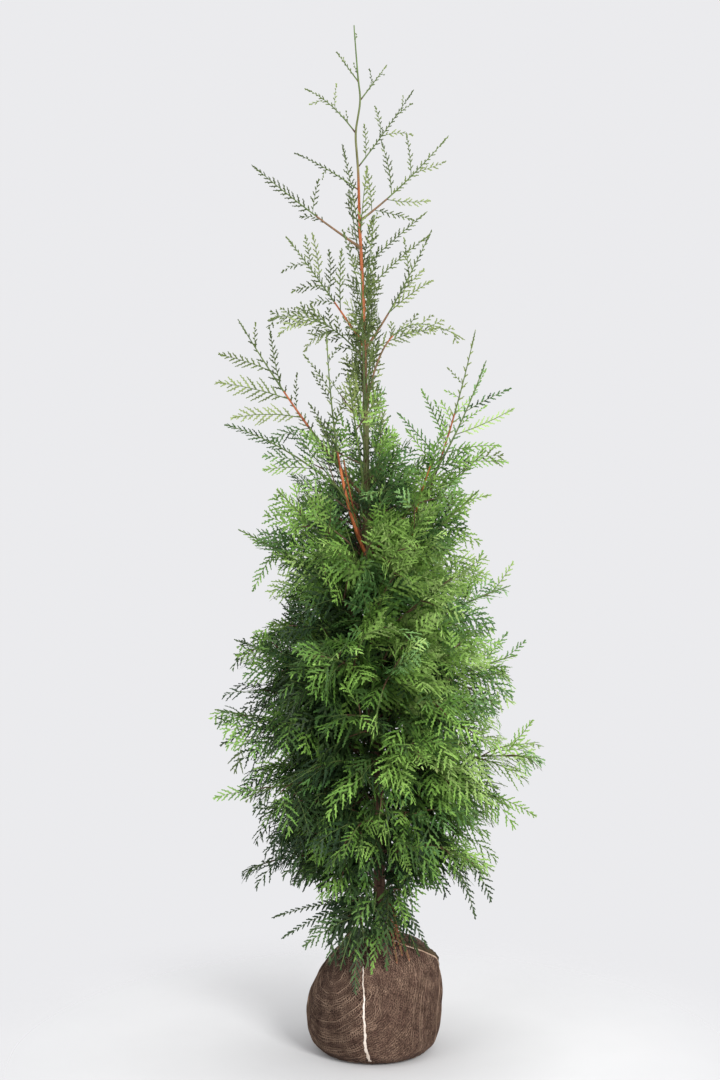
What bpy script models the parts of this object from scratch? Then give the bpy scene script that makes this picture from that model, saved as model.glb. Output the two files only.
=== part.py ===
"""A thuja two metres tall, lifted with its wrapped root ball, as named solids.

Units are metres, +Z is up, +X is the plant's right as it is usually shown and -Y its front.
The origin is the middle of the flat underside of the root ball, on which the plant stands.

The crown follows one rule. A limb leaves the trunk and runs to the tip that CROWN gives it. Along
its outer part side shoots leave it alternately left and right, in the tilted plane of the spray,
and one shoot ends it. Each shoot is a flat, toothed blade. A shoot is cut shorter, or left out,
where it would come nearer to another limb than to its own, or would touch the trunk or the ball.
"""

import math
import random
from collections import namedtuple

import bmesh
import bpy
from mathutils import Matrix, Vector
from mathutils.bvhtree import BVHTree
from mathutils.kdtree import KDTree

# Driving dimensions
TREE_HEIGHT = 2.331
BALL_HEIGHT = 0.262
SEAT_RADIUS = 0.030
GAP = 0.0003
WELD = 1e-6

# Trunk radius at some heights
TRUNK_GIRTH = (
    (BALL_HEIGHT, 0.0200),
    (0.285, 0.0150),
    (0.34, 0.0128),
    (0.80, 0.0108),
    (1.20, 0.0080),
    (1.60, 0.0048),
    (1.90, 0.0032),
    (2.20, 0.0020),
    (TREE_HEIGHT, 0.0013),
)
# How far the trunk sways to the right and to the back at some heights
TRUNK_SWAY = (
    (BALL_HEIGHT, 0.012, 0.000),
    (0.285, 0.012, 0.000),
    (0.50, 0.012, 0.004),
    (0.80, -0.002, 0.008),
    (1.10, -0.015, 0.006),
    (1.45, -0.019, 0.000),
    (1.72, -0.025, -0.004),
    (1.88, -0.033, -0.004),
    (2.00, -0.036, -0.003),
    (2.085, -0.043, 0.000),
    (2.163, -0.030, 0.002),
    (2.205, -0.036, 0.000),
    (TREE_HEIGHT, -0.046, -0.002),
)

# Radius of the root ball at some heights, as a mean of its right and left sides, and how much
# further its right side stands out there than its left
BALL_PROFILE = (
    (0.000, 0.104, 0.000),
    (0.006, 0.122, 0.000),
    (0.020, 0.139, 0.004),
    (0.050, 0.150, 0.000),
    (0.090, 0.154, -0.002),
    (0.135, 0.151, 0.006),
    (0.170, 0.141, 0.022),
    (0.207, 0.122, 0.042),
    (0.232, 0.097, 0.040),
    (0.250, 0.066, 0.020),
    (BALL_HEIGHT, SEAT_RADIUS, 0.000),
)
BALL_SEGMENTS = 30
BALL_LUMPS = ((3, 1.1, 0.010), (5, 4.0, 0.006), (8, 2.3, 0.004))

# Every limb of the crown. foot is the height at which it leaves the trunk, azimuth its direction
# in degrees (0 right, 90 back, 180 left, 270 front), reach and rise how far its tip lies out and
# up from its foot, lift how far the middle of its curve stands above the straight line, spread
# the length of its longest side shoot, roll the tilt of its spray in degrees (0 flat, 90 on
# edge), and bare the share of it that is a bough with no foliage.
Limb = namedtuple("Limb", "name foot azimuth reach rise lift spread roll bare")
CROWN = (
    Limb("tip_left", 2.203, 176, 0.050, 0.070, -0.002, 0.030, 80, 0),
    Limb("tip_right", 2.163, 356, 0.060, 0.078, 0.000, 0.035, 80, 0),
    Limb("high_left", 2.087, 184, 0.116, 0.098, 0.028, 0.060, 75, 0),
    Limb("high_right", 2.007, 352, 0.128, 0.172, -0.006, 0.080, 80, 0),
    Limb("leader_left", 1.955, 188, 0.148, 0.080, 0.012, 0.045, 50, 0),
    Limb("leader_right", 1.884, 5, 0.205, 0.200, -0.022, 0.100, 80, 0.3),
    Limb("long_left", 1.823, 178, 0.250, 0.192, -0.010, 0.070, 60, 0.4),
    Limb("crest_back", 1.770, 120, 0.060, 0.200, -0.020, 0.060, 20, 0),
    Limb("crest_front", 1.700, 300, 0.050, 0.190, -0.030, 0.060, 20, 0),
    Limb("fan_left", 1.600, 172, 0.182, 0.256, 0.010, 0.100, 80, 0.3),
    Limb("fan_right", 1.590, 350, 0.155, 0.270, -0.030, 0.090, 80, 0.35),
    Limb("plume_left", 1.570, 194, 0.225, 0.080, 0.090, 0.100, 70, 0),
    Limb("plume_right", 1.430, 4, 0.228, 0.186, 0.150, 0.085, 70, 0.4),
    Limb("neck_front", 1.430, 262, 0.080, 0.330, -0.050, 0.080, 20, 0),
    Limb("neck_back", 1.480, 85, 0.090, 0.330, -0.050, 0.080, 20, 0),
    Limb("spire_left", 1.120, 222, 0.124, 0.510, -0.110, 0.090, 75, 0.5),
    Limb("spire_right", 0.990, 2, 0.243, 0.650, -0.050, 0.100, 80, 0.35),
    Limb("arm_left", 1.250, 170, 0.303, 0.420, -0.040, 0.110, 75, 0.35),
    Limb("arm_right", 1.120, 345, 0.275, 0.440, -0.050, 0.110, 75, 0.3),
    Limb("plate_left", 1.215, 196, 0.330, 0.200, 0.060, 0.100, 40, 0),
    Limb("plate_right", 1.100, 16, 0.345, 0.320, 0.000, 0.120, 65, 0),
    Limb("upper_front", 1.230, 258, 0.200, 0.290, 0.000, 0.130, 20, 0),
    Limb("upper_back", 1.200, 70, 0.220, 0.300, 0.000, 0.130, 20, 0),
    Limb("wing_right", 1.035, 335, 0.345, 0.300, 0.000, 0.160, 50, 0),
    Limb("wing_left", 1.050, 218, 0.320, 0.270, 0.010, 0.160, 45, 0),
    Limb("waist_left", 0.960, 178, 0.322, 0.230, 0.050, 0.160, 40, 0),
    Limb("waist_front", 0.980, 286, 0.290, 0.190, 0.040, 0.160, 15, 0),
    Limb("waist_back", 1.000, 112, 0.300, 0.200, 0.040, 0.160, 15, 0),
    Limb("waist_right", 0.880, 2, 0.340, 0.180, 0.040, 0.160, 40, 0),
    Limb("mid_left", 0.780, 166, 0.350, 0.150, 0.020, 0.175, 35, 0),
    Limb("mid_right", 0.740, 18, 0.372, 0.150, 0.040, 0.175, 35, 0),
    Limb("mid_front", 0.800, 250, 0.340, 0.110, 0.060, 0.175, 10, 0),
    Limb("mid_back", 0.820, 76, 0.340, 0.120, 0.060, 0.175, 10, 0),
    Limb("long_arm_left", 0.660, 194, 0.395, 0.125, 0.030, 0.175, 30, 0),
    Limb("long_arm_right", 0.600, 346, 0.385, 0.070, 0.060, 0.175, 25, 0),
    Limb("low_front", 0.640, 290, 0.345, 0.040, 0.080, 0.175, 10, 0),
    Limb("low_back", 0.620, 112, 0.345, 0.050, 0.080, 0.175, 10, 0),
    Limb("low_left", 0.560, 212, 0.370, 0.030, 0.090, 0.175, 20, 0),
    Limb("low_right", 0.525, 24, 0.390, -0.010, 0.100, 0.175, 20, 0),
    Limb("skirt_front", 0.500, 255, 0.330, -0.020, 0.100, 0.150, 5, 0),
    Limb("skirt_back", 0.480, 74, 0.320, -0.020, 0.100, 0.150, 5, 0),
    Limb("skirt_left", 0.460, 148, 0.330, 0.000, 0.080, 0.160, 15, 0),
    Limb("skirt_right", 0.440, 324, 0.330, -0.040, 0.110, 0.160, 15, 0),
    Limb("hem_left", 0.420, 186, 0.320, -0.015, 0.060, 0.120, 30, 0),
    Limb("hem_front", 0.385, 284, 0.270, -0.100, 0.100, 0.120, 10, 0),
    Limb("hem_right", 0.365, 8, 0.225, -0.060, 0.080, 0.110, 20, 0),
    Limb("hem_back", 0.350, 112, 0.240, -0.070, 0.090, 0.120, 10, 0),
    Limb("apron_front", 0.335, 240, 0.195, -0.150, 0.110, 0.100, 0, 0),
)

# Limb thickness: a limb's radius where it leaves the trunk, for each metre of its length, and
# the share of that radius left at its tip. The collar is a short level start, in radii.
LIMB_GIRTH = 0.0085
LIMB_GIRTH_RANGE = (0.0019, 0.0046)
LIMB_TAPER = 0.40
LIMB_STEPS = 4
COLLAR = 1.2
CLEAR_OF_COLLAR = 3
LIMB_SPAN = 0.1

# Spray rule
SHOOT_ANGLE = math.radians(48)
SHOOT_SPACING = 0.052
FIRST_SHOOT = 0.22
LAST_SHOOT = 0.73
END_SHOOT = 0.78
STEM_END = 0.83
SHORTEST_SHOOT = 0.024
LONG_BLADE = 0.110
BLADE_ASPECT = 0.50
BLADE_THICK = 0.0022
BLADE_ROOT = -0.012
BLADE_FIRST_TOOTH = 0.30
BLADE_LAST_TOOTH = 0.78
BLADE_NOTCH_PLACE = -0.12
BLADE_NOTCH_DEPTH = 0.36
BLADE_NECK = 0.15
SHOOT_TAPER = 0.42
FAN_TILT = math.radians(34)
TURN_OUT = math.radians(35)
DROOP = 0.22
TILT_SPREAD = 0.10
LENGTH_SPREAD = (0.92, 1.05)
AFTER_BOUGH = 0.06
SHOOT_TRIES = (1.0, 0.9, 0.8, 0.7, 0.6, 0.5, 0.4)
SAMPLE_STEP = 0.0065
SPACE_MARGIN = 0.0075
TRUNK_CLEARANCE = 0.006
BALL_CLEARANCE = 0.006
PATH_STEPS = 40
JOIN_FLATNESS = math.radians(1)
SEED = 7

# Colour and roughness of each kind of part
FINISHES = {
    "jute": ((0.105, 0.062, 0.040), 0.95),
    "bark": ((0.200, 0.085, 0.040), 0.80),
    "foliage": ((0.060, 0.150, 0.028), 0.60),
}


def clear_scene():
    for obj in list(bpy.data.objects):
        bpy.data.objects.remove(obj, do_unlink=True)


def finish_material(name):
    material = bpy.data.materials.get(name)
    if material is None:
        colour, roughness = FINISHES[name]
        material = bpy.data.materials.new(name)
        material.use_nodes = True
        shader = material.node_tree.nodes["Principled BSDF"]
        shader.inputs["Base Color"].default_value = (*colour, 1)
        shader.inputs["Roughness"].default_value = roughness
        shader.inputs["Metallic"].default_value = 0
    return material


def add_part(name, data, finish, collection):
    part = bpy.data.objects.new(name, data)
    data.materials.append(finish_material(finish))
    collection.objects.link(part)
    return part


def between(table, height):
    """The values of a table of rows (height, value, ...) at a height, straight between rows."""
    for low, high in zip(table, table[1:]):
        if height <= high[0]:
            share = (height - low[0]) / (high[0] - low[0])
            return [a + (b - a) * share for a, b in zip(low[1:], high[1:])]
    return list(table[-1][1:])


def trunk_at(height):
    return Vector((*between(TRUNK_SWAY, height), height))


def trunk_radius(height):
    return between(TRUNK_GIRTH, height)[0]


def ball_radius(height, azimuth):
    """Radius of the root ball at a height, in one direction."""
    mean, offset = between(BALL_PROFILE, height)
    lumps = sum(size * math.sin(waves * azimuth + turn) for waves, turn, size in BALL_LUMPS)
    roundness = math.sin(math.pi * min(max(height / BALL_HEIGHT, 0), 1))
    return mean + offset / 2 * math.cos(azimuth) + mean * lumps * roundness


def inside_ball(point, clearance):
    """Whether a point is inside the root ball, or nearer to it than the clearance."""
    if point.z > BALL_HEIGHT + clearance:
        return False
    height = min(point.z, BALL_HEIGHT)
    azimuth = math.atan2(point.y, point.x)
    return math.hypot(point.x, point.y) < ball_radius(height, azimuth) + clearance


def make_root_ball(collection):
    """The wrapped ball: a sphere drawn to its profile, flat underneath and at the trunk's seat."""
    ball = bmesh.new()
    rings = len(BALL_PROFILE) + 1
    bmesh.ops.create_uvsphere(ball, u_segments=BALL_SEGMENTS, v_segments=rings, radius=1)
    for vertex in ball.verts:
        polar = math.acos(max(-1, min(1, vertex.co.z)))
        azimuth = math.atan2(vertex.co.y, vertex.co.x)
        ring = rings - 1 - round(polar / math.pi * rings)
        if ring < 0:
            vertex.co = Vector((0, 0, 0))
        elif ring >= len(BALL_PROFILE):
            vertex.co = Vector((0, 0, BALL_HEIGHT))
        else:
            height = BALL_PROFILE[ring][0]
            radius = ball_radius(height, azimuth)
            vertex.co = Vector((radius * math.cos(azimuth), radius * math.sin(azimuth), height))
    mesh = bpy.data.meshes.new("root_ball")
    ball.to_mesh(mesh)
    ball.free()
    mesh.shade_smooth()
    mesh.set_sharp_from_angle(angle=math.radians(50))
    return add_part("root_ball", mesh, "jute", collection)


def tube_curve(name, points, radii, resolution):
    """A round, tapering tube through some points, with closed ends."""
    curve = bpy.data.curves.new(name, "CURVE")
    curve.dimensions = "3D"
    curve.bevel_depth = 1
    curve.bevel_resolution = resolution
    curve.use_fill_caps = True
    spline = curve.splines.new("POLY")
    spline.points.add(len(points) - 1)
    for spline_point, place, radius in zip(spline.points, points, radii):
        spline_point.co = (*place, 1)
        spline_point.radius = radius
    return curve


def make_trunk(collection):
    """The trunk, from its flare on the ball's seat to the tip of the leader."""
    heights = sorted({row[0] for row in TRUNK_GIRTH + TRUNK_SWAY})
    heights[0] += GAP
    points = [trunk_at(height) for height in heights]
    radii = [trunk_radius(height) for height in heights]
    return add_part("trunk", tube_curve("trunk", points, radii, 4), "bark", collection)


def evaluated_mesh(obj, flat_within=None):
    """The mesh that an object has after its modifiers, or that a curve makes, welded.

    Where flat_within is an angle, faces that lie flat to each other within it become one.
    """
    depsgraph = bpy.context.evaluated_depsgraph_get()
    mesh = bpy.data.meshes.new_from_object(obj.evaluated_get(depsgraph))
    welded = bmesh.new()
    welded.from_mesh(mesh)
    bmesh.ops.remove_doubles(welded, verts=welded.verts, dist=WELD)
    if flat_within is not None:
        bmesh.ops.dissolve_limit(
            welded, angle_limit=flat_within, verts=welded.verts, edges=welded.edges
        )
    welded.to_mesh(mesh)
    welded.free()
    return mesh


def surface_of(obj):
    """A tree of an object's faces, for finding where a line meets it."""
    mesh = evaluated_mesh(obj)
    surface = BVHTree.FromPolygons(
        [vertex.co for vertex in mesh.vertices], [face.vertices for face in mesh.polygons]
    )
    bpy.data.meshes.remove(mesh)
    return surface


def limb_radius(length, share):
    low, high = LIMB_GIRTH_RANGE
    foot = min(max(LIMB_GIRTH * length, low), high)
    return foot * (1 - (1 - LIMB_TAPER) * share)


def reach_of_trunk(foot, out, radius, trunk_surface):
    """How far the trunk's surface stands out from its axis, over the end of a limb on it."""
    across = out.cross(Vector((0, 0, 1)))
    steps = (-1, -0.5, 0, 0.5, 1)
    furthest = -LIMB_SPAN
    for side in steps:
        for up in steps:
            place = foot + across * side * radius + Vector((0, 0, up * radius))
            hit = trunk_surface.ray_cast(place + out * LIMB_SPAN, -out, LIMB_SPAN)[0]
            if hit is not None:
                furthest = max(furthest, (hit - place).dot(out))
    return furthest


def limb_path(limb, trunk_surface):
    """Points along a limb, from just clear of the trunk to the limb's tip."""
    foot = trunk_at(limb.foot)
    azimuth = math.radians(limb.azimuth)
    out = Vector((math.cos(azimuth), math.sin(azimuth), 0))
    tip = foot + out * limb.reach + Vector((0, 0, limb.rise))
    control = (foot + tip) / 2 + Vector((0, 0, limb.lift))
    radius = limb_radius((tip - foot).length, 0)
    start = foot + out * (reach_of_trunk(foot, out, radius, trunk_surface) + GAP)
    points = [start, start + out * radius * COLLAR]
    for i in range(1, PATH_STEPS + 1):
        t = i / PATH_STEPS
        point = foot * (1 - t) ** 2 + control * (2 * t * (1 - t)) + tip * t**2
        if (point - points[-1]).dot(out) > 0 and (point - start).length > radius * CLEAR_OF_COLLAR:
            points.append(point)
    return points


def path_length(path):
    return sum((b - a).length for a, b in zip(path, path[1:]))


def on_path(path, distance):
    """The point and the direction at a distance along a path."""
    for a, b in zip(path, path[1:]):
        step = (b - a).length
        if distance <= step:
            return a + (b - a) * (distance / step), (b - a) / step
        distance -= step
    return path[-1].copy(), (path[-1] - path[-2]).normalized()


def stretch_of_path(path, start, end, count):
    """Evenly spaced points of a path, between two distances along it."""
    return [on_path(path, start + (end - start) * i / (count - 1))[0] for i in range(count)]


def limb_stretch(path, start, end):
    """A stretch of a limb in a few straight steps: how far along each point is, and the points.

    A limb leaves the trunk level, with a short collar, and turns up after it.
    """
    collar = (path[1] - path[0]).length
    distances = [0, collar] if start == 0 else [start]
    step = (end - distances[-1]) / LIMB_STEPS
    distances += [distances[-1] + step * (i + 1) for i in range(LIMB_STEPS)]
    return distances, [on_path(path, distance)[0] for distance in distances]


def limb_tube(name, path, stretch, resolution):
    """A tapering tube along a stretch of a limb."""
    length = path_length(path)
    distances, points = stretch
    radii = [limb_radius(length, distance / length) for distance in distances]
    return tube_curve(name, points, radii, resolution)


def on_stretch(stretch, distance):
    """The point of a stretch's straight steps at a distance along the limb."""
    distances, points = stretch
    for start, end, a, b in zip(distances, distances[1:], points, points[1:]):
        if distance <= end:
            return a.lerp(b, (distance - start) / (end - start))
    return points[-1].copy()


def make_bough(limb, path, collection):
    """The bare part of a limb."""
    name = "bough_" + limb.name
    stretch = limb_stretch(path, 0, limb.bare * path_length(path))
    return add_part(name, limb_tube(name, path, stretch, 1), "bark", collection)


def blade_half_width(share):
    """Half the width over the teeth of a unit blade, at a share of its length."""
    return 0.5 * math.sin(math.pi * min(1, 0.14 + 0.86 * share)) ** 0.7


def blade_mesh(teeth):
    """A flat blade of unit length, width and thickness, with forward-leaning teeth each side."""
    step = (BLADE_LAST_TOOTH - BLADE_FIRST_TOOTH) / (teeth - 1)
    side = []
    for tooth in range(teeth):
        tip = BLADE_FIRST_TOOTH + step * tooth
        side.append((tip, blade_half_width(tip)))
        side.append((tip + step * BLADE_NOTCH_PLACE, blade_half_width(tip) * BLADE_NOTCH_DEPTH))
    outline = [(BLADE_ROOT, 0.0)] + side + [(1.0, 0.0)] + [(x, -y) for x, y in reversed(side)]
    curve = bpy.data.curves.new("blade", "CURVE")
    curve.dimensions = "2D"
    curve.fill_mode = "BOTH"
    curve.extrude = 0.5
    spline = curve.splines.new("POLY")
    spline.points.add(len(outline) - 1)
    for spline_point, (x, y) in zip(spline.points, outline):
        spline_point.co = (x, y, 0, 1)
    spline.use_cyclic_u = True
    flat = bpy.data.objects.new("blade", curve)
    bpy.context.scene.collection.objects.link(flat)
    mesh = evaluated_mesh(flat)
    bpy.data.objects.remove(flat, do_unlink=True)
    return mesh


def blade_samples(length, width):
    """Points spread over a blade of a size, in its own frame."""
    samples = []
    rows = max(3, math.ceil(length / SAMPLE_STEP))
    columns = max(2, math.ceil(width / SAMPLE_STEP))
    for i in range(rows + 1):
        share = i / rows
        half = blade_half_width(share)
        for j in range(columns + 1):
            across = half * (2 * j / columns - 1)
            samples.append(Vector((share * length, across * width, 0)))
    return samples


class Space:
    """Which limb each place in the crown belongs to."""

    def __init__(self, paths):
        self.own = {}
        self.others = {}
        for name in paths:
            self.own[name] = self.tree([paths[name]])
            self.others[name] = self.tree([path for other, path in paths.items() if other != name])

    @staticmethod
    def tree(paths):
        places = []
        for path in paths:
            length = path_length(path)
            count = max(2, round(length / (SAMPLE_STEP / 2)))
            places += stretch_of_path(path, 0, length, count)
        tree = KDTree(len(places))
        for i, place in enumerate(places):
            tree.insert(place, i)
        tree.balance()
        return tree

    def allows(self, name, point):
        """Whether a point lies in a limb's own space, clear of the trunk and the ball."""
        axis = trunk_at(min(max(point.z, BALL_HEIGHT), TREE_HEIGHT))
        if (point - axis).length < trunk_radius(axis.z) + TRUNK_CLEARANCE:
            return False
        if inside_ball(point, BALL_CLEARANCE):
            return False
        own = self.own[name].find(point)[2]
        return own + SPACE_MARGIN < self.others[name].find(point)[2]


def blade_matrix(root, direction, normal, length, width):
    across = normal.cross(direction).normalized()
    normal = direction.cross(across)
    columns = (direction * length, across * width, normal * BLADE_THICK)
    matrix = Matrix([[column[row] for column in columns] + [root[row]] for row in range(3)])
    return matrix.to_4x4()


def spray_shoots(limb, path, stem, space):
    """Where the shoots of a limb's spray stand on its stem: a list of (matrix, length)."""
    dice = random.Random(SEED + round(limb.foot * 1000))
    length = path_length(path)
    first = max(FIRST_SHOOT, limb.bare + AFTER_BOUGH) * length
    last = LAST_SHOOT * length
    count = max(2, round((last - first) / SHOOT_SPACING) + 1)
    roll = math.radians(limb.roll)
    fits = []

    def try_shoot(root, direction, normal, full_length, widths):
        for share_length, share_width in widths:
            blade_length = full_length * share_length
            if blade_length < SHORTEST_SHOOT:
                return
            width = full_length * share_width * BLADE_ASPECT
            matrix = blade_matrix(root, direction, normal, blade_length, width)
            frame = blade_matrix(root, direction, normal, 1, 1)
            samples = blade_samples(blade_length, width)
            samples = [sample for sample in samples if sample.x > BLADE_NECK * blade_length]
            if all(space.allows(limb.name, frame @ sample) for sample in samples):
                fits.append((matrix, blade_length))
                return

    for i in range(count):
        share = i / (count - 1)
        distance = first + (last - first) * share
        root = on_stretch(stem, distance)
        along = on_path(path, distance)[1]
        flat = along.cross(Vector((0, 0, 1))).normalized()
        side = 1 if i % 2 == 0 else -1
        tilt = roll + FAN_TILT * (1 if i % 4 < 2 else -1) * side + dice.uniform(-TILT_SPREAD, TILT_SPREAD)
        across = Matrix.Rotation(tilt, 3, along) @ flat * side
        direction = along * math.cos(SHOOT_ANGLE) + across * math.sin(SHOOT_ANGLE)
        droop = DROOP * math.hypot(along.x, along.y)
        direction = (direction - Vector((0, 0, droop))).normalized()
        normal = Matrix.Rotation(TURN_OUT * side, 3, direction) @ (along.cross(across) * side)
        full = limb.spread * (1 - SHOOT_TAPER * share) * dice.uniform(*LENGTH_SPREAD)
        try_shoot(root, direction, normal, full, [(share, share) for share in SHOOT_TRIES])
    root = on_stretch(stem, END_SHOOT * length)
    along = on_path(path, END_SHOOT * length)[1]
    to_tip = path[-1] - root
    flat = along.cross(Vector((0, 0, 1))).normalized()
    normal = along.cross(Matrix.Rotation(roll, 3, along) @ flat)
    tries = [(1, share) for share in SHOOT_TRIES]
    try_shoot(root, to_tip.normalized(), normal, to_tip.length, tries)
    return fits


def make_foliage(limb, path, space, blades, collection):
    """One mass of foliage: the outer part of a limb with its shoots, joined into one solid."""
    length = path_length(path)
    name = "foliage_" + limb.name
    begin = limb.bare * length + GAP if limb.bare else 0
    stretch = limb_stretch(path, begin, STEM_END * length)
    stem_curve = bpy.data.objects.new(name, limb_tube(name, path, stretch, 0))
    collection.objects.link(stem_curve)
    stem = bpy.data.objects.new("stem", evaluated_mesh(stem_curve))
    bpy.data.objects.remove(stem_curve, do_unlink=True)
    collection.objects.link(stem)
    shoots = bpy.data.collections.new("shoots")
    bpy.context.scene.collection.children.link(shoots)
    for matrix, blade_length in spray_shoots(limb, path, stretch, space):
        teeth = 3 if blade_length > LONG_BLADE else 2
        shoot = bpy.data.objects.new("shoot", blades[teeth])
        shoot.matrix_world = matrix
        shoots.objects.link(shoot)
    join = stem.modifiers.new("join", "BOOLEAN")
    join.operation = "UNION"
    join.operand_type = "COLLECTION"
    join.collection = shoots
    join.solver = "EXACT"
    bpy.context.view_layer.update()
    mesh = evaluated_mesh(stem, JOIN_FLATNESS)
    mesh.materials.clear()
    bpy.data.objects.remove(stem, do_unlink=True)
    for shoot in list(shoots.objects):
        bpy.data.objects.remove(shoot, do_unlink=True)
    bpy.data.collections.remove(shoots)
    mesh.name = name
    return add_part(name, mesh, "foliage", collection)


def main():
    clear_scene()
    collection = bpy.data.collections.new("thuja")
    bpy.context.scene.collection.children.link(collection)
    make_root_ball(collection)
    trunk = make_trunk(collection)
    bpy.context.view_layer.update()
    trunk_surface = surface_of(trunk)
    paths = {limb.name: limb_path(limb, trunk_surface) for limb in CROWN}
    space = Space(paths)
    blades = {teeth: blade_mesh(teeth) for teeth in (2, 3)}
    for limb in CROWN:
        if limb.bare:
            make_bough(limb, paths[limb.name], collection)
        make_foliage(limb, paths[limb.name], space, blades, collection)


main()
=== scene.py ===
"""The looks of a thuja on a wrapped root ball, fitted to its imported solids.

The foliage grows by the rule of the solids, carried on to the finest twigs: limbs leave the
trunk, arms and fronds leave the limbs left and right in turn, pinnae leave the fronds, and
scale-leaved branchlets leave the pinnae. Every axis is a curve root + a t + b t^2, t from 0 to 1.
Metres, +Z up, -Y is the front. Only the tables of limbs and twigs are in millimetres.
"""

import math

import bpy
import numpy as np
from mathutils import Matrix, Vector


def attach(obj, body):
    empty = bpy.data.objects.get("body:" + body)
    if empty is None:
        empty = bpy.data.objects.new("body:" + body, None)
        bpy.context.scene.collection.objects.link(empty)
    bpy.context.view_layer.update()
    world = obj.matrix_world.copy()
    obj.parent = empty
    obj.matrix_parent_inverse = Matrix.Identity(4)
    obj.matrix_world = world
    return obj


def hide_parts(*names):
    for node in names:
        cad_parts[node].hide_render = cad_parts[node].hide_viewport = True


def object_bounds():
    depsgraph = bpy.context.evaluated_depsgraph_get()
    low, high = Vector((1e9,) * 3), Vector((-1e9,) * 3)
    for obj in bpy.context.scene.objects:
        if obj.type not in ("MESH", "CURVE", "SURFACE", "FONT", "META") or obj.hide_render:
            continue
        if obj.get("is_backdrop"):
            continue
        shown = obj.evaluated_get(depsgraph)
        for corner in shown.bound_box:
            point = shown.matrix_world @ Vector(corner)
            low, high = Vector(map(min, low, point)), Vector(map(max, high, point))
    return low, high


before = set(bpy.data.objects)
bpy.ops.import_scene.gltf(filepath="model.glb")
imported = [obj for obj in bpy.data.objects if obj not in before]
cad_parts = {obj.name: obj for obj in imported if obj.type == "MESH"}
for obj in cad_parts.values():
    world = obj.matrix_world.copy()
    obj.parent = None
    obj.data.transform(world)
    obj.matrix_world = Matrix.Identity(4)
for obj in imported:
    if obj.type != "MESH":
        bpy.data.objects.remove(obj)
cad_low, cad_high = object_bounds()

dice = np.random.default_rng(20)
UP = np.array((0.0, 0.0, 1.0))
# millimetres in a metre
MM = 1000


def smoothed(values, width):
    """Values of a dense row, averaged over a number of neighbours each way."""
    padded = np.pad(values, width, mode="edge")
    return np.convolve(padded, np.ones(2 * width + 1) / (2 * width + 1), "valid")


def smoothed_points(points, width):
    """The same for each coordinate of a row of points."""
    return np.stack([smoothed(values, width) for values in points.T], axis=-1)


def look_up(table, x, k=1):
    """Column k of a table, read between its rows at values of its first column."""
    return np.interp(x, table[:, 0], table[:, k])


# ---- the solids' own dimensions

TREE_HEIGHT = 2.331
BALL_HEIGHT = 0.262
# height, radius
TRUNK_GIRTH = np.array((
    (BALL_HEIGHT, 0.0200), (0.285, 0.0150), (0.34, 0.0128), (0.80, 0.0108), (1.20, 0.0080),
    (1.60, 0.0048), (1.90, 0.0032), (2.20, 0.0020), (TREE_HEIGHT, 0.0013),
))
# height, x, y
TRUNK_SWAY = np.array((
    (BALL_HEIGHT, 0.012, 0), (0.285, 0.012, 0), (0.50, 0.012, 0.004), (0.80, -0.002, 0.008),
    (1.10, -0.015, 0.006), (1.45, -0.019, 0), (1.72, -0.025, -0.004), (1.88, -0.033, -0.004),
    (2.00, -0.036, -0.003), (2.085, -0.043, 0), (2.163, -0.030, 0.002), (2.205, -0.036, 0),
    (TREE_HEIGHT, -0.046, -0.002),
))
# height, mean radius, right side beyond left
BALL_PROFILE = np.array((
    (0.000, 0.104, 0), (0.006, 0.122, 0), (0.020, 0.139, 0.004), (0.050, 0.150, 0),
    (0.090, 0.154, -0.002), (0.135, 0.151, 0.006), (0.170, 0.141, 0.022), (0.207, 0.122, 0.042),
    (0.232, 0.097, 0.040), (0.250, 0.066, 0.020), (BALL_HEIGHT, 0.030, 0),
))
# waves round the ball, where they start, their height as a share of the radius
BALL_LUMPS = ((3, 1.1, 0.010), (5, 4.0, 0.006), (8, 2.3, 0.004))
BALL_HEART = np.array((0.0, 0.0, 0.115))

heights = np.linspace(0, BALL_HEIGHT, 400)
BALL_SMOOTH = np.stack([
    heights,
    smoothed(smoothed(look_up(BALL_PROFILE, heights, 1), 14), 9),
    smoothed(smoothed(look_up(BALL_PROFILE, heights, 2), 26), 20),
], axis=-1)
# the tight curve at the foot stays as it is
BALL_SMOOTH[:12, 1] = look_up(BALL_PROFILE, heights[:12])

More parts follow.
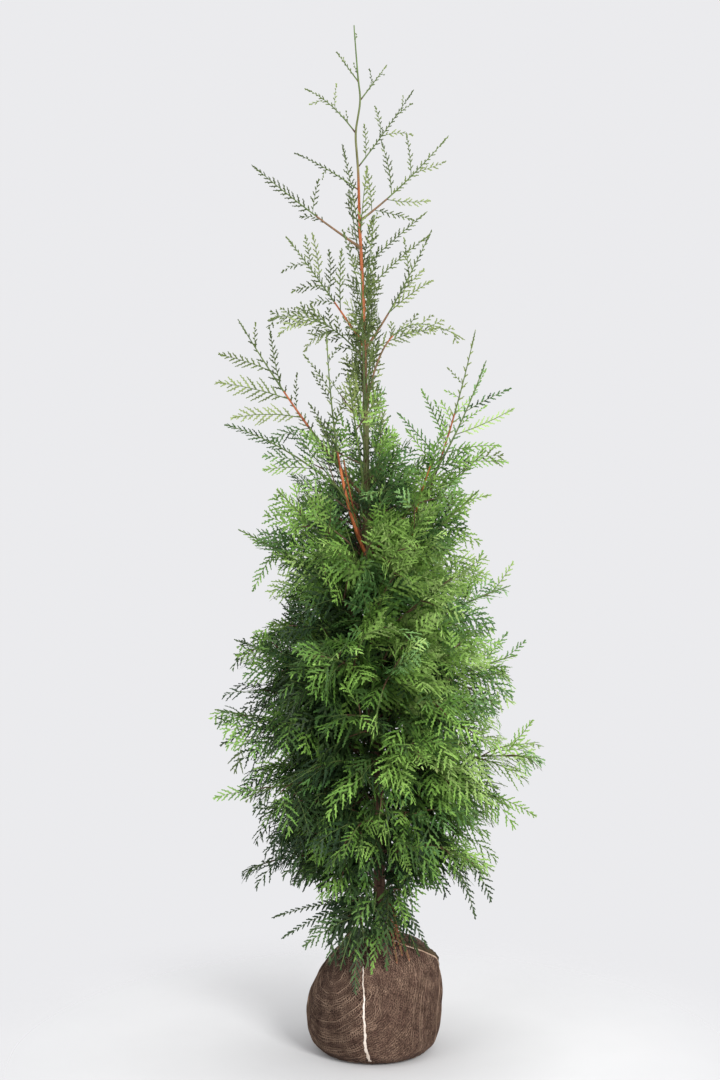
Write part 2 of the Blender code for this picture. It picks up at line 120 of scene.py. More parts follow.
# Millimetres and degrees: name, foot height, azimuth, reach, rise, lift, longest side shoot,
# roll, bare part in hundredths
CROWN = (
    ("tip_left", 2203, 176, 50, 70, -2, 30, 80, 0), ("tip_right", 2163, 356, 60, 78, 0, 35, 80, 0),
    ("high_left", 2087, 184, 116, 98, 28, 60, 75, 0), ("high_right", 2007, 352, 128, 172, -6, 80, 80, 0),
    ("leader_left", 1955, 188, 148, 80, 12, 45, 50, 0),
    ("leader_right", 1884, 5, 205, 200, -22, 100, 80, 30),
    ("long_left", 1823, 178, 250, 192, -10, 70, 60, 40),
    ("crest_back", 1770, 120, 60, 200, -20, 60, 20, 0),
    ("crest_front", 1700, 300, 50, 190, -30, 60, 20, 0),
    ("fan_left", 1600, 172, 182, 256, 10, 100, 80, 30),
    ("fan_right", 1590, 350, 155, 270, -30, 90, 80, 35),
    ("plume_left", 1570, 194, 225, 80, 90, 100, 70, 0),
    ("plume_right", 1430, 4, 228, 186, 150, 85, 70, 40),
    ("neck_front", 1430, 262, 80, 330, -50, 80, 20, 0), ("neck_back", 1480, 85, 90, 330, -50, 80, 20, 0),
    ("spire_left", 1120, 222, 124, 510, -110, 90, 75, 50),
    ("spire_right", 990, 2, 243, 650, -50, 100, 80, 35),
    ("arm_left", 1250, 170, 303, 420, -40, 110, 75, 35),
    ("arm_right", 1120, 345, 275, 440, -50, 110, 75, 30),
    ("plate_left", 1215, 196, 330, 200, 60, 100, 40, 0),
    ("plate_right", 1100, 16, 345, 320, 0, 120, 65, 0),
    ("upper_front", 1230, 258, 200, 290, 0, 130, 20, 0), ("upper_back", 1200, 70, 220, 300, 0, 130, 20, 0),
    ("wing_right", 1035, 335, 345, 300, 0, 160, 50, 0), ("wing_left", 1050, 218, 320, 270, 10, 160, 45, 0),
    ("waist_left", 960, 178, 322, 230, 50, 160, 40, 0),
    ("waist_front", 980, 286, 290, 190, 40, 160, 15, 0),
    ("waist_back", 1000, 112, 300, 200, 40, 160, 15, 0), ("waist_right", 880, 2, 340, 180, 40, 160, 40, 0),
    ("mid_left", 780, 166, 350, 150, 20, 175, 35, 0), ("mid_right", 740, 18, 372, 150, 40, 175, 35, 0),
    ("mid_front", 800, 250, 340, 110, 60, 175, 10, 0), ("mid_back", 820, 76, 340, 120, 60, 175, 10, 0),
    ("long_arm_left", 660, 194, 395, 125, 30, 175, 30, 0),
    ("long_arm_right", 600, 346, 385, 70, 60, 175, 25, 0),
    ("low_front", 640, 290, 345, 40, 80, 175, 10, 0), ("low_back", 620, 112, 345, 50, 80, 175, 10, 0),
    ("low_left", 560, 212, 370, 30, 90, 175, 20, 0), ("low_right", 525, 24, 390, -10, 100, 175, 20, 0),
    ("skirt_front", 500, 255, 330, -20, 100, 150, 5, 0), ("skirt_back", 480, 74, 320, -20, 100, 150, 5, 0),
    ("skirt_left", 460, 148, 330, 0, 80, 160, 15, 0), ("skirt_right", 440, 324, 330, -40, 110, 160, 15, 0),
    ("hem_left", 420, 186, 320, -15, 60, 120, 30, 0), ("hem_front", 385, 284, 270, -100, 100, 120, 10, 0),
    ("hem_right", 365, 8, 225, -60, 80, 110, 20, 0), ("hem_back", 350, 112, 240, -70, 90, 120, 10, 0),
    ("apron_front", 335, 240, 195, -150, 110, 100, 0, 0),
)
NAMES = [row[0] for row in CROWN]
# Limbs that carry no arms: the longest pinna on the limb itself, in millimetres
AIRY = {
    "tip_left": 6, "tip_right": 7, "high_left": 8, "high_right": 10, "leader_left": 9, "leader_right": 14,
    "long_left": 24, "fan_left": 17, "fan_right": 16, "plume_left": 26, "plume_right": 8, "arm_left": 19,
    "arm_right": 20, "spire_left": 14, "spire_right": 18, "plate_left": 30,
}
# Limbs that have fronds of their own only up to a share of them
PART_LEAFY = {
    "arm_left": 0.50, "arm_right": 0.56, "spire_left": 0.50, "spire_right": 0.62, "plate_left": 0.52,
}
# Side shoots like small feathers along an open limb: the longest one
FEATHERS = {"plume_right": 0.050, "plume_left": 0.050}
# Limbs drawn away from the straight line between foot and tip: how far the middle moves
BENDS = {
    "plume_right": (-0.085, 0, 0.070), "spire_right": (0.034, 0, -0.030),
    "arm_right": (0.026, 0, -0.030), "spire_left": (-0.030, 0, 0),
}

# ---- what the solids leave out

# Twigs of the open crown, under the limb that they leave, in millimetres: place on it (a height
# in metres on the trunk, a share of a limb), x, y and z of the tip, bulge above the straight
# line, longest pinna, and where it is not left to chance, the tone. On a limb, y counts from it.
TWIGS = (
    ("trunk", (2.218, -47, -12, 2243, 0, 4), (2.293, -40, 4, 2314, 0, 3)),
    ("tip_left", (0.55, -71, 10, 2262, 0, 4)),
    ("tip_right", (0.72, 24, -10, 2216, 0, 4), (0.4, -11, 12, 2237, 4, 4)),
    ("high_left", (0.62, -148, -14, 2145, 0, 6), (0.4, -85, 14, 2203, 4, 7), (0.14, -64, -12, 2134, 0, 5)),
    ("high_right", (0.66, 88, -18, 2145, 4, 6), (0.8, 66, 12, 2171, 0, 6), (0.42, 2, 22, 2152, 6, 14),
        (0.42, 89, -22, 2072, 14, 12), (0.14, -23, 22, 2112, 4, 13)),
    ("leader_left", (0.5, -118, 20, 1980, 6, 8)),
    ("leader_right", (0.62, 164, -24, 2018, -4, 14), (0.3, 131, 24, 1938, -10, 17),
        (0.14, -18, 24, 2018, 4, 17), (0.36, 16, -24, 2063, 10, 18), (0.58, 74, 22, 2095, 4, 11),
        (0.16, 92, -30, 1880, 4, 14)),
    ("long_left", (0.44, -125, -26, 1976, 4, 16), (0.3, -172, 30, 1900, 20, 16)),
    ("trunk", (1.8, -73, 6, 2063, 10, 24), (1.845, -15, -40, 2002, 4, 19), (1.76, -2, 36, 1905, 6, 20),
        (1.775, 123, 26, 1913, 4, 16), (1.715, 128, -36, 1848, 14, 17), (1.69, -72, -36, 1860, 6, 20),
        (1.65, 12, 10, 1830, 8, 20)),
    ("fan_right", (0.5, 116, 24, 1778, 4, 15), (0.36, 134, -24, 1745, 10, 18), (0.66, 68, 24, 1850, 4, 14)),
    ("fan_left", (0.68, -159, 24, 1863, 4, 16), (0.56, -141, -34, 1856, 6, 18),
        (0.3, -73, -34, 1819, 6, 21), (0.72, -212, -24, 1765, 18, 14), (0.5, -192, 30, 1728, 20, 18),
        (0.36, -146, -44, 1690, 20, 20), (0.44, -104, 34, 1830, 6, 19)),
    ("plume_left", (0.45, -217, -36, 1612, 40, 24), (0.36, -180, 36, 1690, 20, 24),
        (0.28, -160, 50, 1590, 40, 24)),
    ("arm_left", (0.6, -363, -24, 1519, 10, 33), (0.75, -362, 24, 1590, 6, 24),
        (0.86, -271, -20, 1659, 6, 10), (0.66, -241, 30, 1646, -6, 19), (0.54, -176, -20, 1542, 4, 10),
        (0.5, -326, -50, 1434, 18, 33), (0.44, -241, -40, 1378, 16, 31), (0.4, -181, 40, 1460, 4, 23)),
    ("spire_left", (0.89, -72, 10, 1601, 4, 7), (0.8, -159, -20, 1572, 4, 10), (0.76, -142, 24, 1539, 2, 9),
        (0.8, -77, 20, 1534, 2, 7), (0.66, -63, -24, 1483, 4, 14), (0.58, -150, 30, 1471, 6, 19),
        (0.55, -59, 24, 1421, 6, 19), (0.5, -166, -30, 1404, 10, 24), (0.47, -131, -10, 1437, 6, 22)),
    ("spire_right", (0.8, 159, -20, 1499, 2, 9), (0.84, 168, 20, 1556, 2, 8), (0.72, 154, 24, 1480, 4, 17),
        (0.66, 106, -30, 1502, 4, 17), (0.68, 135, -50, 1475, 4, 13), (0.6, 53, 30, 1453, 4, 19),
        (0.56, 70, -40, 1411, 6, 20), (0.74, 226, 30, 1485, 6, 15)),
    ("arm_right", (0.8, 307, -20, 1497, 6, 17), (0.84, 254, 20, 1546, 2, 7), (0.7, 319, 24, 1457, -8, 22),
        (0.74, 253, -24, 1459, 4, 9), (0.62, 285, -30, 1368, 14, 22), (0.56, 307, 30, 1335, 12, 24),
        (0.6, 163, 30, 1431, 6, 24), (0.52, 213, -50, 1367, 6, 26), (0.46, 151, -40, 1399, 4, 26)),
    ("trunk", (1.355, 30, 20, 1415, 4, 9), (1.34, 54, -30, 1400, 6, 15), (1.4, 26, 30, 1480, 2, 13),
        (1.38, 38, -20, 1441, 4, 13), (1.33, -50, -50, 1401, 4, 18), (1.58, 153, 40, 1647, 26, 24)),
    ("plate_left", (0.45, -251, -30, 1346, 6, 31), (0.38, -255, 30, 1317, 10, 31)),
)
# Drooping sprays over the shoulder of the ball, and a few dead ones
LOW_TWIGS = (
    ("apron_front", (0.5, -158, -45, 262, 16, 36, 0.08), (0.3, -146, -60, 290, 10, 30, 0.05),
        (0.55, -43, -64, 166, 0, 26, 0.1), (0.18, -210, -10, 258, 28, 18, -0.35),
        (0.14, -234, 20, 296, 24, 18, -0.35)),
    ("hem_front", (0.3, -8, -70, 205, 0, 24, 0.02), (0.36, 26, -52, 212, 0, 24, 0.08)),
    ("hem_right", (0.12, 122, -62, 240, 12, 22, -0.05), (0.1, 100, -86, 230, 10, 20, -0.12),
        (0.06, 70, -92, 244, 6, 20, -0.2)),
)
DRY_TWIGS = (
    ("hem_right", (0.05, 62, -100, 236, 6, 10, 0.0), (0.07, 78, -104, 226, 6, 10, 0.0),
        (0.08, 50, -112, 222, 4, 9, 0.0)),
)
# Shoots that stand out of the sides of the crown
SIDE_TWIGS = (
    ("waist_right", (0.66, 248, -30, 1135, 4, 22), (0.86, 318, -20, 1110, -6, 18)),
    ("mid_right", (0.74, 312, -30, 945, 4, 20), (0.9, 356, -20, 925, -4, 18)),
    ("long_arm_right", (0.8, 352, -30, 760, -4, 22)),
    ("low_right", (0.84, 382, -30, 510, 12, 24)),
    ("skirt_right", (0.84, 254, -20, 370, 12, 22, -0.4), (0.64, 222, -20, 324, 16, 22, -0.45)),
    ("waist_left", (0.72, -276, -30, 1040, 4, 22), (0.52, -232, -30, 1130, 4, 20)),
    ("mid_left", (0.76, -320, -30, 890, 4, 22)),
    ("long_arm_left", (0.62, -345, -30, 700, 10, 24)),
    ("low_left", (0.86, -350, -30, 600, 10, 26)),
    ("plate_right", (0.62, 258, -30, 1372, 4, 22), (0.45, 270, -30, 1262, 4, 24)),
)
# A red stem beside the left spire, and one at the foot of the right arm
RED_TWIGS = (
    ("spire_left", (0.08, -70, -22, 1345, -4, 8)),
    ("spire_right", (0.3, 128, -60, 1330, 6, 12)),
)
# x and height of the line above which only the twigs named here stand against the sky
SKY_LINE = np.array((
    (-0.36, 1.20), (-0.305, 1.26), (-0.26, 1.35), (-0.17, 1.39), (-0.12, 1.42), (-0.078, 1.43),
    (-0.066, 1.72), (0.010, 1.74), (0.022, 1.43), (0.05, 1.385), (0.11, 1.385), (0.15, 1.40),
    (0.19, 1.42), (0.22, 1.41), (0.27, 1.375), (0.30, 1.32), (0.33, 1.15),
))
# How far the crown reaches to the left and to the right of the middle, at some heights
CROWN_SIDES = np.array((
    (0.12, 0.10, 0.06), (0.22, 0.22, 0.13), (0.30, 0.25, 0.23), (0.40, 0.31, 0.29),
    (0.49, 0.32, 0.36), (0.60, 0.35, 0.37), (0.68, 0.36, 0.38), (0.79, 0.38, 0.37),
    (0.90, 0.37, 0.37), (0.96, 0.31, 0.35), (1.06, 0.28, 0.32), (1.12, 0.28, 0.29),
    (1.20, 0.33, 0.27), (1.26, 0.28, 0.26), (1.34, 0.25, 0.29), (1.43, 0.28, 0.28),
    (1.52, 0.34, 0.30), (1.60, 0.34, 0.24), (1.68, 0.24, 0.20), (1.90, 0.20, 0.15),
    (2.00, 0.28, 0.14), (2.10, 0.12, 0.16), (2.33, 0.05, 0.05),
))
CROWN_DEPTH = 0.90

# ---- small vector tools


def unit(v):
    return v / np.maximum(np.linalg.norm(v, axis=-1, keepdims=True), 1e-12)


def dot(a, b):
    return np.sum(a * b, axis=-1, keepdims=True)


def square(normal, direction):
    """The part of a vector that is square to a direction, at unit length."""
    return unit(normal - direction * dot(normal, direction))


def column(value):
    return np.asarray(value, float)[:, None]


def azimuth_of(points):
    return np.arctan2(points[..., 1], points[..., 0])


def from_middle(points):
    return np.hypot(points[..., 0], points[..., 1])


def trunk_at(height):
    height = np.asarray(height, float)
    return np.stack([look_up(TRUNK_SWAY, height), look_up(TRUNK_SWAY, height, 2), height], axis=-1)


def lumpy(height, azimuth, mean, offset):
    """The ball's radius, from its profile: lumps go round it, and its middle lies to one side."""
    lumps = sum(size * np.sin(count * azimuth + turn) for count, turn, size in BALL_LUMPS)
    roundness = np.sin(np.pi * np.clip(height / BALL_HEIGHT, 0, 1))
    return mean + offset / 2 * np.cos(azimuth) + mean * lumps * roundness


def cloth_radius(points):
    """The ball's radius in the direction of points, and at their height."""
    height = np.clip(points[:, 2], 0, BALL_HEIGHT)
    mean, offset = look_up(BALL_SMOOTH, height), look_up(BALL_SMOOTH, height, 2)
    return lumpy(height, azimuth_of(points), mean, offset)


def inside_ball(points, clearance):
    near = from_middle(points) < cloth_radius(points) + clearance
    return near & (points[:, 2] < BALL_HEIGHT + clearance)


def in_box(points, box):
    return np.all((points > box[0]) & (points < box[1]), axis=1)


def waves(seed, count, low, high):
    """A smooth random field made of sine waves, between about -1 and 1."""
    own = np.random.default_rng(seed)
    direction = unit(own.normal(size=(count, 3)))
    number = own.uniform(low, high, (count, 1))
    phase = own.uniform(0, 2 * np.pi, count)
    k = direction * number

    def field(points):
        return np.sin(points @ k.T + phase).sum(axis=-1) / math.sqrt(count / 2) / 1.6

    return field


# ---- growing axes


def at(axes, i, t):
    t = column(t)
    return axes["root"][i] + axes["a"][i] * t + axes["b"][i] * t * t


def all_at(axes, t):
    """The place of every axis at one share of it."""
    return axes["root"] + axes["a"] * t + axes["b"] * t * t


def along(axes, i, t):
    return unit(axes["a"][i] + 2 * axes["b"][i] * column(t))


def pick(axes, chosen):
    return {key: value[chosen] for key, value in axes.items()}


def join(parts):
    return {key: np.concatenate([part[key] for part in parts]) for key in parts[0]}


def shorten(axes, share):
    """Ends each axis at a share of its length."""
    axes["a"] *= column(share)
    axes["b"] *= column(share) ** 2
    axes["length"] *= share


def end_of(axes, start):
    """The stretch of each axis from a share of it to its tip."""
    s = column(np.broadcast_to(start, len(axes["root"])))
    made = dict(axes)
    made["root"] = axes["root"] + axes["a"] * s + axes["b"] * s * s
    made["a"] = (1 - s) * (axes["a"] + 2 * s * axes["b"])
    made["b"] = (1 - s) ** 2 * axes["b"]
    made["length"] = axes["length"] * (1 - s[:, 0])
    return made


def side_axes(parents, gap, first, last, angle, tilt, length_of, sweep, hang, jitter=0.3):
    """Axes that leave their parents left and right in turn, in the plane of each parent.

    They leave at an angle in degrees, at places a gap apart between two shares of the parent;
    sweep bends them forward and hang lets them droop.
    """
    every = len(parents["root"])
    first, last, hang = (np.broadcast_to(value, every) for value in (first, last, hang))
    count = np.maximum(1, np.round((last - first) * parents["length"] / gap)).astype(int)
    count[parents["length"] <= 0] = 0
    i = np.repeat(np.arange(every), count)
    n = len(i)
    place = np.arange(n) - np.repeat(np.cumsum(count) - count, count)
    share = (place + 0.5 + dice.uniform(-jitter, jitter, n)) / count[i]
    t = first[i] + (last[i] - first[i]) * share
    side = column(np.where(place % 2 == 0, 1, -1))
    forward = along(parents, i, t)
    normal = square(parents["normal"][i], forward)
    out = np.cross(normal, forward) * side
    lean = column(dice.uniform(-1, 1, n) * math.radians(tilt))
    normal, out = normal * np.cos(lean) - out * np.sin(lean), out * np.cos(lean) + normal * np.sin(lean)
    turn = column(math.radians(angle) * dice.uniform(0.88, 1.12, n) * (1.08 - 0.25 * t))
    direction = unit(forward * np.cos(turn) + out * np.sin(turn))
    length = length_of(i, t)
    return {
        "root": at(parents, i, t),
        "a": direction * column(length),
        "b": column(length) * (sweep * forward - column(hang[i]) * UP),
        "normal": square(normal, direction),
        "length": length,
        "tone": parents["tone"][i],
        "limb": parents["limb"][i],
        "t": t,
    }, i


ragged = waves(9, 10, 14, 40)


def crown_radius(height, azimuth=None):
    """The reach of the crown at a height, in a direction or all round."""
    left, right = look_up(CROWN_SIDES, height), look_up(CROWN_SIDES, height, 2)
    if azimuth is None:
        return (left + right) / 2
    depth = (left + right) / 2 * CROWN_DEPTH
    side = np.where(np.cos(azimuth) > 0, right, left)
    return 1 / np.sqrt((np.cos(azimuth) / side) ** 2 + (np.sin(azimuth) / depth) ** 2)


def reach_at(points):
    return crown_radius(points[:, 2], azimuth_of(points))


def outward(points):
    """How far out in the crown points are, 0 to 1, and the level direction away from the trunk."""
    share = from_middle(points) / reach_at(points)
    level = points - trunk_at(np.clip(points[:, 2], BALL_HEIGHT, TREE_HEIGHT))
    level[:, 2] = 0
    return np.clip(share, 0, 1.15), unit(level)


def face_out(fronds, weight):
    """Turns fronds so that their faces look out of the crown, or along its surface, and a little up."""
    n = len(fronds["root"])
    level = outward(all_at(fronds, 0.5))[1]
    beside = np.cross(UP, level)
    turn = column(dice.normal(0, 0.38, n) + np.where(dice.random(n) < 0.5, 0, np.pi / 2))
    target = unit((level * np.cos(turn) + beside * np.sin(turn)) * 0.8 + UP * 0.4)
    normal = fronds["normal"] * np.sign(dot(fronds["normal"], target) + 1e-9)
    fronds["normal"] = square(unit(normal * (1 - weight) + target * weight), unit(fronds["a"]))


FLOOR_CLEARANCE = 0.03


def clear_of_ball(axes, clearance):
    """Which axes stay clear of the ball, the trunk's foot and the floor."""
    fine = np.ones(len(axes["root"]), bool)
    for t in (0.35, 0.6, 0.8, 1.0):
        place = all_at(axes, t)
        fine &= ~inside_ball(place, clearance) & (place[:, 2] > FLOOR_CLEARANCE)
    return fine


def passes(axes, box):
    """Which axes pass through a box."""
    return np.any([in_box(all_at(axes, t), box) for t in (0.3, 0.6, 0.8, 1.0)], axis=0)


def keep_in_reach(axes):
    """Shrinks axes whose tips pass the reach of the crown at their height."""
    low, high = np.array(cad_low) - 0.004, np.array(cad_high) + (0.004, 0.004, -0.004)
    for share in (0.85, 0.8, 0.75, 0.7, 0.6):
        tip = all_at(axes, 1)
        far = np.any((tip < low) | (tip > high), axis=1)
        far |= from_middle(tip) > reach_at(tip) * (0.94 + 0.13 * ragged(tip))
        for key in ("a", "b", "length"):
            axes[key][far] *= share


def under_sky(points, margin=0.0):
    """Which points lie below the sky line of the dense crown."""
    return points[:, 2] < look_up(SKY_LINE, points[:, 0]) + margin


# ---- the limbs


def limb_axes(foot, tip, control, roll, **more):
    """Limbs from foot to tip that bend towards a control point; roll turns their flat side."""
    chord = unit(tip - foot)
    flat = unit(np.cross(chord, UP))
    across = flat * column(np.cos(roll)) + np.cross(chord, flat) * column(np.sin(roll))
    return {
        "root": foot,
        "a": 2 * (control - foot),
        "b": foot - 2 * control + tip,
        "normal": unit(np.cross(across, chord)),
        "length": np.linalg.norm(tip - foot, axis=1) * 1.04,
        "t": np.zeros(len(foot)),
        **more,
    }


def level_out(azimuth):
    return np.stack([np.cos(azimuth), np.sin(azimuth), 0 * azimuth], axis=-1)


def named_limbs():
    foot_z, azimuth, reach, rise, lift, spread, roll, bare = np.array([row[1:] for row in CROWN], float).T
    foot = trunk_at(foot_z / MM)
    tip = foot + level_out(np.radians(azimuth)) * column(reach / MM) + UP * column(rise / MM)
    control = (foot + tip) / 2 + UP * column(lift / MM)
    control += np.array([BENDS.get(name, (0, 0, 0)) for name in NAMES])
    return limb_axes(
        foot, tip, control, np.radians(roll), tone=dice.uniform(-0.13, 0.13, len(NAMES)),
        limb=np.arange(len(NAMES)), spread=spread / MM, bare=bare / 100,
    )


INNER_LIMBS = 96
UPPER_LIMBS = 14
REAR_LIMBS = 10
GOLDEN_ANGLE = math.radians(137.508)


def inner_limbs():
    """Short limbs between the long ones, all the way round and up the dense part of the crown."""
    n = INNER_LIMBS + UPPER_LIMBS + REAR_LIMBS
    foot_z = np.concatenate([
        np.linspace(0.30, 1.20, INNER_LIMBS), np.linspace(1.18, 1.56, UPPER_LIMBS),
        np.linspace(0.42, 1.10, REAR_LIMBS),
    ])
    azimuth = GOLDEN_ANGLE * np.arange(n) + 0.4
    azimuth[-REAR_LIMBS:] = np.radians(90 + 40 * np.sin(2.2 * np.arange(REAR_LIMBS)))
    # the upper ones lean to the front and to the back, so the sides stay open
    upper = np.arange(UPPER_LIMBS)
    azimuth[INNER_LIMBS:-REAR_LIMBS] = np.radians(90 * (-1.0) ** upper + 22 * np.sin(2.4 * upper))
    reach = crown_radius(foot_z) * dice.uniform(0.55, 0.80, n)
    reach *= np.interp(foot_z, (0.3, 0.45, 1.0, 1.18, 1.56), (0.75, 1, 0.9, 0.7, 0.42))
    climb = np.interp(foot_z, (0.30, 0.6, 1.0, 1.3, 1.56), (-0.2, 0.25, 0.8, 1.4, 1.8))
    foot = trunk_at(foot_z)
    tip = foot + level_out(azimuth) * column(reach) + UP * column(reach * climb)
    control = (foot + tip) / 2 + UP * column(reach * np.interp(foot_z, (0.3, 1.0), (0.30, 0.05)))
    made = limb_axes(
        foot, tip, control, dice.uniform(0, 0.9, n),
        # inner limbs below 1.2 m lean darker, painted shade inside the crown; those above lean lighter
        tone=dice.uniform(-0.16, 0.08, n) + np.where(foot_z > 1.2, 0.08, 0),
        limb=len(CROWN) + np.arange(n),
    )
    return {**made, "spread": 0.20 * made["length"] + 0.075, "bare": np.zeros(n)}


def named(starts):
    """Which limbs have a name that starts in one of some ways."""
    return np.array([name.startswith(starts) for name in names])


limbs = join([named_limbs(), inner_limbs()])
names = NAMES + ["inner"] * (len(limbs["t"]) - len(NAMES))
airy = np.isin(names, list(AIRY))
close = named(("crest", "neck"))
leafy_end = np.array([PART_LEAFY.get(name, 0.97) for name in names])
open_limb = np.isin(names, list(PART_LEAFY))
leafy = ~airy | open_limb

# the shoulder of the ball, its seam and its tie show beside the foliage
OPEN_PLACES = np.array((
    ((0.046, -0.14, 0.18), (0.17, 0.06, 0.315)),
    ((0.095, -0.20, 0.25), (0.155, 0.20, 0.375)),
    ((-0.40, -0.40, 0.15), (-0.11, 0.40, 0.370)),
    ((-0.004, -0.30, 0.365), (0.030, -0.012, 0.435)),
))
# dark hollows of the crown, with few sprays in front of them
HOLLOWS = np.array((
    ((-0.024, -0.40, 0.46), (0.032, -0.05, 0.70)),
    ((0.020, -0.40, 0.99), (0.070, -0.06, 1.07)),
    ((-0.092, -0.40, 1.02), (-0.056, -0.06, 1.09)),
    ((0.000, -0.40, 0.85), (0.038, -0.06, 0.93)),
))

# the dense limbs end inside the crown, under its sky line and outside the open places
kept = np.ones(len(names))
for share in np.linspace(1, 0.5, 26):
    ends = all_at(limbs, share)
    within = (from_middle(ends) < 0.97 * reach_at(ends)) & under_sky(ends, 0.012)
    for box in OPEN_PLACES[1:3]:
        within &= ~in_box(ends, box)
    kept = np.where(~within & ~airy & ~close, np.minimum(kept, share), kept)
shorten(limbs, kept)

# Arms: the long side shoots of the limbs
arm_parents = pick(limbs, leafy & ~open_limb & (limbs["length"] > 0.16) & (limbs["root"][:, 2] < 1.24))
arm_foot_z = arm_parents["root"][:, 2]


def arm_length(i, t):
    return arm_parents["spread"][i] * (1.20 - 0.50 * t) * dice.uniform(0.8, 1.12, len(i))


arms = side_axes(
    arm_parents, gap=np.interp(arm_foot_z, (0.95, 1.25), (0.050, 0.085)),
    first=np.maximum(0.05, arm_parents["bare"] + 0.04), last=0.86, angle=44, tilt=62,
    length_of=arm_length, sweep=0.10, hang=np.interp(arm_foot_z, (0.3, 0.9, 1.3), (0.42, 0.20, 0.0)),
)[0]
keep_in_reach(arms)
arms = pick(arms, clear_of_ball(arms, 0.004))
for box in OPEN_PLACES:
    arms = pick(arms, ~passes(arms, box))

clump_field = waves(12, 14, 45, 100)


def clumps(points):
    """Positive in the open places between the clumps of the outer sprays."""
    return clump_field(points * (1, 0.4, 1))


arm_ends = all_at(arms, 1)
arms = pick(arms, ~((outward(arm_ends)[0] > 0.80) & (clumps(arm_ends) > 0.30)))

# ---- the fronds


def set_leafing(fronds, wide):
    """Pinna and branchlet sizes of fronds, from their longest pinna and their height."""
    fronds["wide"] = wide * dice.uniform(0.88, 1.1, len(fronds["root"]))
    fronds["gap"] = 0.0056 + 0.072 * wide
    fronds["leaf"] = 0.0042 + 0.090 * wide
    fronds["leaf_gap"] = np.interp(fronds["root"][:, 2], (1.3, 1.6), (0.0040, 0.0036))
    return fronds


def shoots(parents, longest, gap, first, taper, wide, shortest=0.75, last=0.97, angle=46, hang=None):
    """Fronds along parents, shorter towards their tips."""
    z = parents["root"][:, 2]
    if hang is None:
        hang = np.interp(z, (0.3, 0.9, 1.3, 1.6), (0.52, 0.34, 0.10, -0.06))
    hang = np.broadcast_to(hang, len(z))
    longest = np.broadcast_to(longest, len(z))

    def length_of(i, t):
        return longest[i] * (1.02 - taper * t) * dice.uniform(shortest, 1.1, len(i))

    fronds, i = side_axes(
        parents, gap, first, last, angle, tilt=46, length_of=length_of, sweep=0.16, hang=hang
    )
    fronds["hang"] = hang[i]
    keep_in_reach(fronds)
    return set_leafing(fronds, np.minimum(0.062, wide * fronds["length"] + 0.008))


leaf_limbs = pick(limbs, leafy & ~close)
limb_fronds = shoots(
    leaf_limbs, leaf_limbs["spread"],
    gap=np.interp(leaf_limbs["root"][:, 2], (0.95, 1.25), (0.024, 0.030)),
    first=np.maximum(0.06, leaf_limbs["bare"] + 0.02), last=leafy_end[leafy & ~close],
    taper=0.45, wide=0.42,
)
hugging = pick(limbs, close)
crest = hugging["root"][:, 2] > 1.6
close_fronds = shoots(
    hugging, np.where(crest, 0.64, 0.90) * hugging["spread"], gap=np.where(crest, 0.013, 0.0105),
    first=0.02, taper=0.35, wide=0.32, shortest=0.50, angle=34, hang=0.0,
)
# few of them lie in front of the trunk and behind it
beyond = np.abs(close_fronds["a"][:, 1]) > 0.8 * np.abs(close_fronds["a"][:, 0])
close_fronds = pick(close_fronds, ~(beyond & (dice.random(len(beyond)) < 0.6)))
arm_fronds = shoots(arms, 0.83 * arms["length"], gap=0.026, first=0.08, taper=0.48, wide=0.42)
feathered = pick(limbs, np.isin(names, list(FEATHERS)))
feathers = shoots(
    feathered, [FEATHERS[names[k]] for k in feathered["limb"]], gap=0.0125,
    first=feathered["bare"] + 0.04, last=0.95, taper=0.50, wide=0.16, angle=56, hang=0.06,
)


def tip_fronds(axes, start, wide):
    """The ends of axes as fronds of their own, from a share of them on."""
    ends = end_of(axes, start)
    ends["hang"] = np.zeros(len(ends["root"]))
    return set_leafing(ends, np.broadcast_to(wide, len(ends["root"])))


arm_tips = tip_fronds(arms, start=0.45, wide=0.022)
limb_tips = tip_fronds(pick(limbs, leafy & ~open_limb), start=0.62, wide=0.024)
airy_limbs = pick(limbs, airy)
airy_start = np.maximum(0.12, airy_limbs["bare"])
airy_start = np.maximum(airy_start, np.where(open_limb, leafy_end, 0)[airy])
airy_tips = tip_fronds(airy_limbs, airy_start, np.array([AIRY[names[k]] for k in airy_limbs["limb"]]) / MM)
is_arm = named(("arm", "spire"))[airy]
airy_tips["gap"] = np.where(is_arm, 0.0125, airy_tips["gap"])
n = len(is_arm)
to_front = np.stack([dice.uniform(-0.4, 0.4, n), -np.ones(n), np.full(n, 0.2)], axis=1)
facing = square(to_front, unit(airy_tips["a"] + airy_tips["b"]))
airy_tips["normal"] = np.where(column(is_arm), facing, airy_tips["normal"])
airy_tips["hang"] = np.where(named("plume")[airy], 0.30, 0.0)


def twig(parent, place, x, y, z, bulge, longest, tone=None):
    """One twig of the tables, and its longest pinna."""
    on_trunk = parent == "trunk"
    limb = -1 if on_trunk else NAMES.index(parent)
    root = trunk_at(place) if on_trunk else at(limbs, [limb], [place])[0]
    tip = np.array((x, y, z)) / MM
    tip[1] += 0 if on_trunk else root[1]
    chord = tip - root
    upward = np.cross((0, 1, 0), unit(chord)) * (-1 if chord[0] > 0 else 1)
    control = (root + tip) / 2 + upward * (bulge / MM)
    to_front = np.array((dice.uniform(-0.35, 0.35), -1, dice.uniform(-0.1, 0.3)))
    return {
        "root": root,
        "a": 2 * (control - root),
        "b": root - 2 * control + tip,
        "normal": square(to_front, unit(chord)),
        "length": np.linalg.norm(chord),
        "tone": dice.uniform(-0.1, 0.1) if tone is None else tone,
        "limb": limb,
        "t": 0.0,
        "longest": longest / MM,
    }


